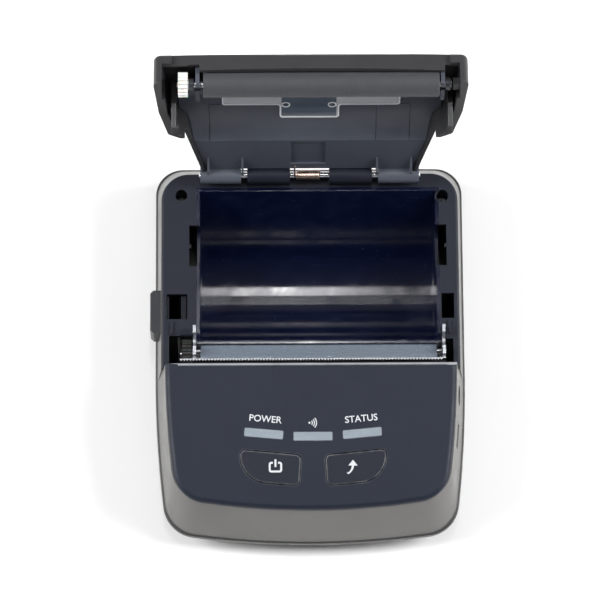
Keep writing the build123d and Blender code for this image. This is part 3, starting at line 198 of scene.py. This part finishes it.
def moulded(name, colour, rough=0.45, grain=0.16 * MM, depth=0.006 * MM, edge=0.22 * MM, rim=None,
            ior=1.49):
    """Textured plastic: eroded grain, faint clouds from the mould, handled spots, lint, and paler edges that
    are partly rubbed wear and partly a painted highlight.

    rim is the colour painted on the edges as a highlight, where it isn't just a paler tint of the plastic's
    own.
    """
    finish = Finish(name)
    clouds = finish.noise(14 * MM, 4)
    fine = finish.noise(grain, 2)
    pits = finish.cells(grain * 2.2)
    edge_share, rounded = finish.edges(edge)
    base = finish.mix(finish.remap(clouds, 0.3, 0.7), tint(colour, 0.88), tint(colour, 1.12))
    speckled = finish.mix(finish.remap(fine, 0.35, 0.7), base, tint(colour, 1.18))
    # Painted highlight: the edges are lightened towards the rim colour, broken up by noise like rubbed wear
    rubbed_and_highlit = finish.maths("MULTIPLY", edge_share, finish.remap(finish.noise(2.5 * MM, 3), 0.35, 0.65, 0.2, 1.0))
    edged = finish.mix(rubbed_and_highlit, speckled, rim or tint(colour, 1.5))
    lint = finish.maths("GREATER_THAN", finish.noise(0.35 * MM, 1), 0.79)
    settled = finish.maths("MULTIPLY", lint, 0.15)
    finish.link(finish.mix(settled, edged, DUST), finish.shader.inputs["Base Color"])
    handled = finish.noise(9 * MM, 5, distortion=0.8)
    roughness = finish.maths("ADD", finish.remap(handled, 0.3, 0.7, rough - 0.06, rough + 0.06),
                             finish.remap(fine, 0.2, 0.8, -0.03, 0.05))
    finish.link(roughness, finish.shader.inputs["Roughness"])
    finish.set(IOR=ior)
    finish.relief([(fine, depth), (pits, depth * 0.6)], rounded)
    return finish.material


def polished(name, colour, rough=0.12, edge=0.3 * MM):
    """Glossy plastic with slow waviness, hairline scratches in two directions, smudges and dust specks."""
    finish = Finish(name)
    _, rounded = finish.edges(edge)
    long_way = finish.noise(0.35 * MM, 2, stretch=(0.03, 1, 1))
    cross_way = finish.noise(0.4 * MM, 2, stretch=(1, 0.04, 0.04), distortion=0.3)
    scratch = finish.maths("MAXIMUM", finish.remap(long_way, 0.70, 0.76), finish.remap(cross_way, 0.72, 0.78))
    smudge = finish.noise(11 * MM, 5, distortion=1.2)
    speck = finish.maths("GREATER_THAN", finish.noise(0.5 * MM, 1), 0.80)
    clouds = finish.mix(finish.remap(smudge, 0.3, 0.7), tint(colour, 0.85), tint(colour, 1.25))
    scratched = finish.mix(finish.maths("MULTIPLY", scratch, 0.25), clouds, tint(colour, 4))
    finish.link(finish.mix(finish.maths("MULTIPLY", speck, 0.25), scratched, DUST),
                finish.shader.inputs["Base Color"])
    haze = finish.remap(smudge, 0.35, 0.75, rough, rough + 0.12)
    finish.link(finish.maths("ADD", haze, finish.maths("MULTIPLY", scratch, 0.12)),
                finish.shader.inputs["Roughness"])
    finish.set(IOR=1.5)
    wave = finish.noise(7 * MM, 1)
    finish.relief([(wave, 0.010 * MM), (finish.noise(0.8 * MM, 2), 0.0008 * MM)], rounded)
    return finish.material


def painted_silver(name, colour, rough=0.33, edge=0.3 * MM):
    """Champagne metallic paint: flakes that catch the light one by one, orange peel, rubbed edges."""
    finish = Finish(name)
    edge_share, rounded = finish.edges(edge)
    flakes = finish.cells(0.11 * MM, "Color")
    flake_light = finish.node("ShaderNodeSeparateColor")
    finish.link(flakes, flake_light.inputs[0])
    clouds = finish.noise(18 * MM, 3)
    base = finish.mix(finish.remap(clouds, 0.3, 0.7), tint(colour, 0.95), tint(colour, 1.04))
    flaked = finish.mix(finish.maths("MULTIPLY", flake_light.outputs[0], 0.35), base, tint(colour, 1.25))
    rub = finish.maths("MULTIPLY", edge_share, finish.remap(finish.noise(3 * MM, 4), 0.45, 0.6))
    finish.link(finish.mix(finish.maths("MULTIPLY", rub, 0.6), flaked, tint(colour, 0.55)),
                finish.shader.inputs["Base Color"])
    handled = finish.noise(12 * MM, 5, distortion=0.7)
    finish.link(finish.remap(handled, 0.3, 0.7, rough - 0.05, rough + 0.07),
                finish.shader.inputs["Roughness"])
    finish.set(Metallic=0.1, IOR=1.46, Coat_Weight=0.1, Coat_Roughness=0.2)
    finish.relief([(flake_light.outputs[1], 0.0015 * MM), (finish.noise(0.9 * MM, 2), 0.0025 * MM)], rounded)
    return finish.material


def rubber(name, colour, rough=0.72):
    """Ground rubber: fine turned rings, crumbly grain, talc caught in it, and shiny contact bands."""
    finish = Finish(name)
    rings = finish.noise(0.12 * MM, 2, stretch=(1, 0.02, 0.02))
    crumb = finish.noise(0.22 * MM, 3)
    lanes = finish.noise(6 * MM, 3, stretch=(1, 0.05, 0.05))
    base = finish.mix(finish.remap(crumb, 0.3, 0.75), tint(colour, 0.8), tint(colour, 1.3))
    talc = finish.maths("GREATER_THAN", finish.noise(0.3 * MM, 2), 0.74)
    finish.link(finish.mix(finish.maths("MULTIPLY", talc, 0.30), base, (0.45, 0.45, 0.46)),
                finish.shader.inputs["Base Color"])
    finish.link(finish.remap(lanes, 0.35, 0.7, rough - 0.1, rough + 0.08),
                finish.shader.inputs["Roughness"])
    finish.set(IOR=1.5, Sheen_Weight=0.25, Sheen_Roughness=0.4)
    _, rounded = finish.edges(0.25 * MM)
    finish.relief([(rings, 0.006 * MM), (crumb, 0.010 * MM)], rounded)
    return finish.material


def steel(name, colour, rough=0.3, grain=(0.02, 1, 1), tarnish=0.3, metallic=1.0):
    """Brushed or ground metal: streaks along one axis, tarnish clouds, small pits, and bright edges that are
    partly worn metal and partly a painted highlight.
    """
    finish = Finish(name)
    edge_share, rounded = finish.edges(0.12 * MM)
    streak = finish.noise(0.10 * MM, 3, stretch=grain)
    cloud = finish.noise(5 * MM, 5, distortion=0.6)
    base = finish.mix(finish.remap(streak, 0.25, 0.75), tint(colour, 0.82), tint(colour, 1.12))
    tarnished = finish.maths("MULTIPLY", finish.remap(cloud, 0.5, 0.75), tarnish)
    dull = finish.mix(tarnished, base, tint(colour, 0.5))
    # Painted highlight: the edges are lightened, partly standing for worn metal
    finish.link(finish.mix(finish.maths("MULTIPLY", edge_share, 0.5), dull, tint(colour, 1.3)),
                finish.shader.inputs["Base Color"])
    finish.link(finish.maths("ADD", finish.remap(streak, 0.2, 0.8, rough - 0.07, rough + 0.07),
                             finish.remap(cloud, 0.4, 0.8, 0.0, 0.14)), finish.shader.inputs["Roughness"])
    finish.set(Metallic=metallic)
    finish.relief([(streak, 0.002 * MM), (finish.noise(0.3 * MM, 2), 0.0015 * MM)], rounded)
    return finish.material


def clear_window(name, colour, transmission, rough, highlit_sides=None):
    """Milky or clear resin with flow lines and small bubbles.

    The last argument is a middle, a half width, and a paler colour painted on the resin further out than that
    along X as a highlight.
    """
    finish = Finish(name)
    flow = finish.noise(3 * MM, 3, stretch=(0.3, 1, 1), distortion=1.0)
    bubble = finish.maths("LESS_THAN", finish.cells(0.8 * MM), 0.10)
    base = finish.mix(finish.remap(flow, 0.3, 0.7), tint(colour, 0.92), tint(colour, 1.06))
    if highlit_sides:
        centre, half_width, pale = highlit_sides
        # Painted highlight: the paler colour outside the clear stretch
        aside = finish.maths("ABSOLUTE", finish.maths("SUBTRACT", finish.along("X"), centre))
        base = finish.mix(finish.remap(aside, half_width, half_width + 0.3 * MM), base, pale)
    finish.link(finish.mix(finish.maths("MULTIPLY", bubble, 0.3), base, WHITE),
                finish.shader.inputs["Base Color"])
    finish.link(finish.remap(flow, 0.3, 0.7, rough, rough + 0.1), finish.shader.inputs["Roughness"])
    finish.set(IOR=1.49, Transmission_Weight=transmission)
    _, rounded = finish.edges(0.15 * MM)
    finish.relief([(flow, 0.004 * MM)], rounded)
    return finish.material


def acetal(name, colour):
    """White moulded gear plastic: slightly waxy, with flow marks, and a brownish grey darkening in the
    corners that is painted shade.
    """
    finish = Finish(name)
    _, rounded = finish.edges(0.1 * MM)
    # Painted shade: darker where ambient occlusion finds hollows, patchy by noise
    hollow = finish.node("ShaderNodeAmbientOcclusion", samples=6)
    hollow.inputs["Distance"].default_value = 1.2 * MM
    hollow_shade = finish.maths("MULTIPLY", finish.remap(hollow.outputs["AO"], 0.7, 0.25),
                         finish.remap(finish.noise(1.2 * MM, 4), 0.35, 0.65, 0.3, 1.0))
    flow = finish.noise(1.5 * MM, 3, distortion=0.8)
    base = finish.mix(finish.remap(flow, 0.3, 0.7), tint(colour, 0.93), tint(colour, 1.04))
    finish.link(finish.mix(finish.maths("MULTIPLY", hollow_shade, 0.55), base, (0.32, 0.30, 0.27)),
                finish.shader.inputs["Base Color"])
    finish.link(finish.remap(flow, 0.3, 0.7, 0.28, 0.42), finish.shader.inputs["Roughness"])
    finish.set(IOR=1.48, Subsurface_Weight=0.25, Subsurface_Scale=0.8 * MM)
    finish.relief([(flow, 0.004 * MM), (finish.noise(0.2 * MM, 2), 0.001 * MM)], rounded)
    return finish.material


def circuit(name):
    """Green solder mask over traces, seen as paler bands, with pads."""
    finish = Finish(name)
    bricks = finish.node("ShaderNodeTexBrick", offset=0.37)
    finish.link(finish.place, bricks.inputs["Vector"])
    bricks.inputs["Scale"].default_value = 160.0
    bricks.inputs["Mortar Size"].default_value = 0.06
    bricks.inputs["Color1"].default_value = (0.012, 0.10, 0.05, 1)
    bricks.inputs["Color2"].default_value = (0.016, 0.13, 0.06, 1)
    bricks.inputs["Mortar"].default_value = (0.03, 0.22, 0.10, 1)
    pads = finish.maths("LESS_THAN", finish.cells(2.4 * MM), 0.16)
    finish.link(finish.mix(pads, bricks.outputs["Color"], (0.62, 0.60, 0.50)),
                finish.shader.inputs["Base Color"])
    finish.link(finish.remap(finish.noise(2 * MM, 3), 0.3, 0.7, 0.25, 0.4),
                finish.shader.inputs["Roughness"])
    finish.relief([(bricks.outputs["Fac"], 0.02 * MM), (pads, 0.02 * MM)])
    return finish.material


def ink(name, colour):
    """Screen-printed ink: slightly uneven cover, ragged at a fine scale."""
    finish = Finish(name)
    cover = finish.noise(0.25 * MM, 3)
    finish.link(finish.mix(finish.remap(cover, 0.25, 0.55), tint(colour, 0.85), colour),
                finish.shader.inputs["Base Color"])
    finish.link(finish.remap(cover, 0.3, 0.7, 0.4, 0.55), finish.shader.inputs["Roughness"])
    finish.relief([(cover, 0.003 * MM)])
    return finish.material


PANEL_BLUE = (0.0060, 0.0094, 0.0205)
# Painted highlight: the grey painted on the control panel's edges
PANEL_EDGE_HIGHLIGHT = (0.20, 0.205, 0.22)
# Painted highlight: the pale grey painted round the buttons' edges
BUTTON_RIM_HIGHLIGHT = (0.60, 0.61, 0.64)
# The clear stretch of the paper guide, a little left of its middle; on both sides of it the resin carries a
# painted highlight, a paler colour
GUIDE_TAB_MIDDLE = middle("paper_guide").x - 0.7 * MM
GUIDE_TAB_HALF = 9.2 * MM
FINISHES = {
    "bottom_case": moulded("bottom_case", (0.030, 0.030, 0.031), rough=0.42),
    "side_band": painted_silver("side_band", (0.108, 0.105, 0.100)),
    "feet": rubber("feet", (0.03, 0.03, 0.03)),
    "screws": steel("screws", (0.16, 0.16, 0.17), rough=0.38, grain=(1, 1, 0.2)),
    "panel": moulded("panel", PANEL_BLUE, rough=0.54, depth=0.004 * MM, edge=0.30 * MM, rim=PANEL_EDGE_HIGHLIGHT,
                     ior=1.40),
    "deck": moulded("deck", tint(PANEL_BLUE, 0.7), rough=0.55, depth=0.005 * MM, ior=1.41),
    "tray": polished("tray", (0.0024, 0.0042, 0.0175), rough=0.105),
    "sensor": moulded("sensor", (0.02, 0.02, 0.022)),
    "light": clear_window("light", (0.24, 0.28, 0.325), transmission=0.10, rough=0.35),
    "board": circuit("board"),
    "chips": moulded("chips", (0.02, 0.02, 0.02), grain=0.1 * MM),
    "radio": steel("radio", (0.7, 0.7, 0.7), rough=0.25),
    "switches": steel("switches", (0.6, 0.6, 0.6), rough=0.3),
    "leds": clear_window("leds", (0.85, 0.88, 0.8), transmission=0.5, rough=0.2),
    "socket_steel": steel("socket_steel", (0.68, 0.68, 0.70), rough=0.25),
    "jack": moulded("jack", (0.02, 0.02, 0.02)),
    "contacts": steel("contacts", (0.80, 0.60, 0.25), rough=0.25),
    "pin": steel("pin", (0.66, 0.67, 0.70), rough=0.22),
    "hinge_spring": steel("hinge_spring", (0.62, 0.48, 0.41), rough=0.26, grain=(1, 0.2, 0.2)),
    "bracket": steel("bracket", (0.50, 0.52, 0.56), rough=0.36),
    "tear_bar": steel("tear_bar", (0.56, 0.575, 0.61), rough=0.48),
    "spring": steel("spring", (0.6, 0.6, 0.62), rough=0.25),
    "motor": steel("motor", (0.5, 0.5, 0.52), rough=0.35),
    "button": moulded("button", tint(PANEL_BLUE, 0.75), rough=0.46, depth=0.003 * MM, edge=0.6 * MM,
                      rim=BUTTON_RIM_HIGHLIGHT, ior=1.42),
    "battery_case": moulded("battery_case", (0.03, 0.03, 0.03)),
    "cells": polished("cells", (0.03, 0.15, 0.30), rough=0.25),
    "head": steel("head", (0.42, 0.50, 0.60), rough=0.2, tarnish=0.2, metallic=0.6),
    "heatsink": steel("heatsink", (0.6, 0.61, 0.63), rough=0.35),
    "pinion": steel("pinion", (0.75, 0.56, 0.28), rough=0.25, grain=(1, 0.1, 0.1)),
    "gear": acetal("gear", (0.82, 0.82, 0.79)),
    "gear_dark": acetal("gear_dark", (0.022, 0.023, 0.025)),
    "release": moulded("release", (0.026, 0.027, 0.033), rough=0.4),
    "lid_cover": moulded("lid_cover", (0.030, 0.030, 0.032), rough=0.36, depth=0.004 * MM, edge=0.4 * MM),
    "lid_inner": moulded("lid_inner", (0.062, 0.070, 0.090), rough=0.42),
    "guide": clear_window("guide", (0.145, 0.175, 0.23), transmission=0.35, rough=0.10,
                          highlit_sides=(GUIDE_TAB_MIDDLE, GUIDE_TAB_HALF, (0.80, 0.83, 0.88))),
    "bushing": moulded("bushing", (0.05, 0.055, 0.065), rough=0.4),
    "roller": rubber("roller", (0.040, 0.042, 0.048)),
    "clip": steel("clip", (0.22, 0.22, 0.24), rough=0.35),
}
PRINT_WHITE = ink("print_white", (0.60, 0.62, 0.65))
GUIDE_RIM_HIGHLIGHT = clear_window("guide_rim_highlight", (0.92, 0.94, 0.97), transmission=0.0, rough=0.2)
DARK_BELOW_TOP = steel("blackened", (0.03, 0.03, 0.033), rough=0.5)
PANEL_BEAD_HIGHLIGHT = polished("panel_bead_highlight", (0.26, 0.27, 0.29), rough=0.25)
PANEL_REAR = moulded("panel_rear", PANEL_BLUE, rough=0.54, depth=0.004 * MM, ior=1.40)


def dress(node, slot_name):
    """Gives a CAD node its slot's finish."""
    node.data.materials.clear()
    node.data.materials.append(FINISHES[slot_name])


def dress_faces(node, finish, belongs):
    """Gives another finish to the faces of a node whose middles pass a test."""
    node.data.materials.append(finish)
    for face in node.data.polygons:
        if belongs(face.center):
            face.material_index = len(node.data.materials) - 1


for part in frame["record"]["subparts"]:
    dress(NODES[part["node"]], part["material_slot"])

# The guide's raised rim, the part of it nearest the paper roll's axis, is painted near white as a highlight
ROLL_FROM_HINGE = (-35.7 * MM, -14.4 * MM)
RIM_RADIUS = 20.4 * MM
LID_OPEN = radians(-105)
LID_Y = Vector((0, cos(LID_OPEN), sin(LID_OPEN)))
LID_Z = Vector((0, -sin(LID_OPEN), cos(LID_OPEN)))
hinge = middle("hinge_pin")
roll_axis = hinge + ROLL_FROM_HINGE[0] * LID_Y + ROLL_FROM_HINGE[1] * LID_Z
dress_faces(NODES["paper_guide"], GUIDE_RIM_HIGHLIGHT, lambda spot: (spot.yz - roll_axis.yz).length < RIM_RADIUS)
# The tear bar is darker below its ground top face
TOP_FACE_DEPTH = 0.02 * MM
tear_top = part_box("tear_bar")[1].z
dress_faces(NODES["tear_bar"], DARK_BELOW_TOP, lambda spot: spot.z < tear_top - TOP_FACE_DEPTH)
# The panel's rim along the paper outlet has none of the grey painted on the panel's edges as a highlight, and
# the bead on it is polished and painted pale grey as a highlight
RIM_DEPTH = 0.95 * MM
BEAD_HEIGHT = 0.52 * MM
rim_rear, bead_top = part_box("top_panel")[1].yz
dress_faces(NODES["top_panel"], PANEL_REAR, lambda spot: spot.y > rim_rear - RIM_DEPTH)
dress_faces(NODES["top_panel"], PANEL_BEAD_HIGHLIGHT, lambda spot: spot.z > bead_top - BEAD_HEIGHT)


# ---------------------------------------------------------------- springs

def shortening_spring(node):
    """Stands for a coil spring: a copy of its mesh, in the node's place, that rides on the body."""
    piece = add(f"{node}_coil", NODES[node].data.copy())
    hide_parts(node)
    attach(piece, "body")
    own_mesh(piece)


shortening_spring("release_spring")
shortening_spring("head_springs")


# ---------------------------------------------------------------- printed marks

MARK_PROUD = 0.02 * MM
MARK_SUNK = 0.05 * MM


def tree_of(node):
    """The node's surface, for finding its height under a point."""
    mesh = bmesh.new()
    mesh.from_mesh(node.data)
    found = BVHTree.FromBMesh(mesh)
    mesh.free()
    return found


def height_at(surface, x, y):
    """Height of the surface's top at a point."""
    hit, _, _, _ = surface.ray_cast(Vector((x, y, 1)), Vector((0, 0, -1)))
    return hit.z


def placed(points, centre, scale):
    """Points of a drawing, scaled and moved to a centre."""
    return [(centre[0] + scale * x, centre[1] + scale * y) for x, y in points]


def white_mark(name, data, body):
    """A piece of white print that rides on a body."""
    data.materials.clear()
    data.materials.append(PRINT_WHITE)
    piece = add(name, data)
    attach(piece, body)


def printed(name, shapes, node, body):
    """Thin closed inlays, one for each outline, that lie on a node's top."""
    surface = tree_of(NODES[node])
    mesh = bmesh.new()
    for outline in shapes:
        heights = [height_at(surface, x, y) for x, y in outline]
        top = [mesh.verts.new((x, y, z + MARK_PROUD)) for (x, y), z in zip(outline, heights)]
        low = [mesh.verts.new((x, y, z - MARK_SUNK)) for (x, y), z in zip(outline, heights)]
        mesh.faces.new(top)
        mesh.faces.new(low[::-1])
        for here in range(len(outline)):
            after = (here + 1) % len(outline)
            mesh.faces.new((top[here], low[here], low[after], top[after]))
    bmesh.ops.recalc_face_normals(mesh, faces=mesh.faces)
    data = bpy.data.meshes.new(name)
    mesh.to_mesh(data)
    mesh.free()
    white_mark(name, data, body)


def stroke(points, width):
    """Outline of a line of constant width through points, with square ends."""
    left, right = [], []
    for here, point in enumerate(points):
        before = points[max(here - 1, 0)]
        after = points[min(here + 1, len(points) - 1)]
        run = Vector((after[0] - before[0], after[1] - before[1])).normalized() * width / 2
        left.append((point[0] - run.y, point[1] + run.x))
        right.append((point[0] + run.y, point[1] - run.x))
    return left + right[::-1]


def arc(radius, start, end, steps, centre=(0, 0)):
    """Points along an arc, from one angle to another in degrees."""
    return [(centre[0] + radius * cos(radians(start + (end - start) * i / steps)),
             centre[1] + radius * sin(radians(start + (end - start) * i / steps))) for i in range(steps + 1)]


# The marks are drawn in units of their own size. Power mark: a rounded box, open above, with a bar in the gap
MARK_LINE = 0.34
BOX_HALF = 0.72
BOX_CORNER = 0.28
BOX_BOTTOM, BOX_SHOULDER, BOX_TOP = -0.62, 0.34, 0.62
GAP_HALF = 0.45
box_line = [(-GAP_HALF, BOX_TOP), (-BOX_HALF, BOX_TOP)]
for across, level, start in ((-BOX_HALF, BOX_SHOULDER, 90), (-BOX_HALF, BOX_BOTTOM, 180),
                             (BOX_HALF, BOX_BOTTOM, 270), (BOX_HALF, BOX_SHOULDER, 0)):
    box_line += arc(BOX_CORNER, start, start + 90, 5, (across, level))
box_line.append((GAP_HALF, BOX_TOP))
power_mark = [stroke(box_line, MARK_LINE), stroke([(0, 1.2), (0, -0.12)], MARK_LINE)]
# Feed mark: a tail that bends up into an arrowhead
ARROW_FOOT = 0.1
tail_outline = [(-0.95, -1.3), *arc(1.75, -58, 0, 8, (-1.55, ARROW_FOOT)), (0.68, ARROW_FOOT),
                *arc(2.35, -6, -62, 8, (-1.66, 0.35))]
feed_mark = [tail_outline, [(-0.52, ARROW_FOOT), (0.45, 1.3), (1.42, ARROW_FOOT)]]

MARK_RISE = 0.4 * MM
for node, mark, aside, size in (("power_button", power_mark, 1.7 * MM, 1.95 * MM),
                                ("feed_button", feed_mark, -1.75 * MM, 1.62 * MM)):
    spot = middle(node)
    at = (spot.x + aside, spot.y + MARK_RISE)
    printed(f"{node}_mark", [placed(shape, at, size) for shape in mark], node, node)


# Height of a capital as a share of the font's size, and how much each letter's outline is fattened
CAPITAL_SHARE = 0.7
LETTER_FATTENED = 0.03 * MM


def lettering(name, text, centre, height, angle):
    """Generic capital lettering as flat closed inlays on the control panel."""
    curve = bpy.data.curves.new(name, "FONT")
    curve.body = text
    curve.align_x = "CENTER"
    curve.align_y = "CENTER"
    curve.size = height / CAPITAL_SHARE
    curve.extrude = (MARK_PROUD + MARK_SUNK) / 2
    curve.resolution_u = 4
    curve.offset = LETTER_FATTENED
    letters = add(name + "_curve", curve)
    bpy.context.view_layer.update()
    data = bpy.data.meshes.new_from_object(letters.evaluated_get(bpy.context.evaluated_depsgraph_get()))
    bpy.data.objects.remove(letters)
    surface = tree_of(NODES["top_panel"])
    c, s = cos(angle), sin(angle)
    for vertex in data.vertices:
        x = centre[0] + c * vertex.co.x - s * vertex.co.y
        y = centre[1] + s * vertex.co.x + c * vertex.co.y
        side = MARK_PROUD if vertex.co.z > 0 else -MARK_SUNK
        vertex.co = (x, y, height_at(surface, x, y) + side)
    white_mark(name, data, "body")


LABEL_RISE = 4.9 * MM
LABEL_HEIGHT = 2.25 * MM
for light, word, aside, lean in (("power_light", "POWER", 0.5 * MM, -5.0),
                                 ("status_light", "STATUS", -0.3 * MM, 5.0)):
    spot = middle(light)
    lettering(f"{light}_label", word, (spot.x + aside, spot.y + LABEL_RISE), LABEL_HEIGHT, radians(lean))

# Radio arcs: three waves from a dot, in place of the name of a radio standard
WAVE_LINE = 0.36
WAVE_HALF_ANGLE = 42
WAVES_ASIDE = -1.2 * MM
WAVES_RISE = 4.6 * MM
WAVES_SIZE = 0.9 * MM
dot = arc(0.38, 0, 342, 19)
waves = [stroke(arc(radius, -WAVE_HALF_ANGLE, WAVE_HALF_ANGLE, 10), WAVE_LINE) for radius in (1.1, 1.9, 2.7)]
spot = middle("radio_light")
at = (spot.x + WAVES_ASIDE, spot.y + WAVES_RISE)
printed("radio_label", [placed(shape, at, WAVES_SIZE) for shape in [*waves, dot]], "top_panel", "body")


# ---------------------------------------------------------------- floor, light and camera

def floor():
    """Pale paper sweep under the printer, faintly mottled."""
    finish = Finish("floor")
    soft = finish.noise(0.15, 3)
    finish.link(finish.mix(finish.remap(soft, 0.3, 0.7), (0.93, 0.93, 0.93), (0.95, 0.95, 0.95)),
                finish.shader.inputs["Base Color"])
    finish.link(finish.remap(soft, 0.3, 0.7, 0.7, 0.8), finish.shader.inputs["Roughness"])
    half = 3.0
    corners = [(x * half, y * half, 0) for x, y in ((-1, -1), (1, -1), (1, 1), (-1, 1))]
    mesh = bpy.data.meshes.new("floor")
    mesh.from_pydata(corners, [], [(0, 1, 2, 3)])
    mesh.materials.append(finish.material)
    sheet = add("floor", mesh)


def softbox(name, place, target, size, power):
    """Rectangular light that faces a target."""
    light = bpy.data.lights.new(name, "AREA")
    light.shape = "RECTANGLE"
    light.size, light.size_y = size
    light.energy = power
    holder = add(name, light)
    holder.location = place
    holder.rotation_euler = (Vector(target) - Vector(place)).to_track_quat("-Z", "Y").to_euler()


def surround(front, above, rear):
    """Even studio walls, darker on the side that the printer faces; the values run from -Y over +Z to +Y."""
    world = bpy.data.worlds.new("studio")
    world.use_nodes = True
    tree = world.node_tree
    place = tree.nodes.new("ShaderNodeTexCoord")
    split = tree.nodes.new("ShaderNodeSeparateXYZ")
    ramp = tree.nodes.new("ShaderNodeValToRGB")
    spread = tree.nodes.new("ShaderNodeMapRange")
    spread.inputs["From Min"].default_value = -1.0
    stops = ramp.color_ramp.elements
    stops.new(0.5)
    for stop, (position, value) in zip(stops, ((0.1, front), (0.5, above), (0.9, rear))):
        stop.position = position
        stop.color = (value, value, value, 1)
    tree.links.new(place.outputs["Generated"], split.inputs[0])
    tree.links.new(split.outputs["Y"], spread.inputs["Value"])
    tree.links.new(spread.outputs[0], ramp.inputs[0])
    tree.links.new(ramp.outputs["Color"], tree.nodes["Background"].inputs["Color"])
    bpy.context.scene.world = world


floor()
surround(front=0.03, above=0.19, rear=0.36)
softbox("overhead", place=(0.0, 0.20, 1.6), target=(0, 0.02, 0.01), size=(0.05, 0.42), power=2.8)
softbox("left", place=(-1.2, 0.05, 0.95), target=(0, 0, 0.03), size=(0.5, 1.0), power=25)
softbox("right", place=(1.2, 0.05, 0.95), target=(0, 0, 0.03), size=(0.5, 1.0), power=27)
softbox("front", place=(0.1, -1.3, 0.34), target=(0, 0.04, 0.05), size=(0.9, 0.3), power=1.2)

# Camera: a long lens nearly overhead
CAMERA_ELEVATION = radians(75.0)
CAMERA_AZIMUTH = radians(-2.496)
CAMERA_ROLL = radians(2.142)
CAMERA_DISTANCE = 1.4
LENS = 243.3
# The camera stands back from one point of the printer, and is turned to another point beside it
TARGET_FROM_HINGE = -59.7 * MM
TARGET_HEIGHT = 30 * MM
AIM_ASIDE = (-3.67 * MM, 16.25 * MM)

target = Vector((middle("bottom_case").x, hinge.y + TARGET_FROM_HINGE, TARGET_HEIGHT))
back = Vector((sin(CAMERA_AZIMUTH) * cos(CAMERA_ELEVATION), -cos(CAMERA_AZIMUTH) * cos(CAMERA_ELEVATION),
               sin(CAMERA_ELEVATION)))
level_right = Vector((cos(CAMERA_AZIMUTH), sin(CAMERA_AZIMUTH), 0))
level_up = back.cross(level_right)
right = level_right * cos(CAMERA_ROLL) + level_up * sin(CAMERA_ROLL)
up = back.cross(right)
eye = target + back * CAMERA_DISTANCE
aim = target + right * AIM_ASIDE[0] + up * AIM_ASIDE[1]
toward_eye = (eye - aim).normalized()
across = (right - toward_eye * right.dot(toward_eye)).normalized()
turn = Matrix((across, toward_eye.cross(across), toward_eye)).transposed().to_4x4()
lens = bpy.data.cameras.new("camera")
lens.lens = LENS
lens.clip_start, lens.clip_end = 0.05, 20
camera = add("camera", lens)
camera.matrix_world = Matrix.Translation(eye) @ turn
bpy.context.scene.camera = camera
bpy.context.scene.view_settings.view_transform = "Standard"
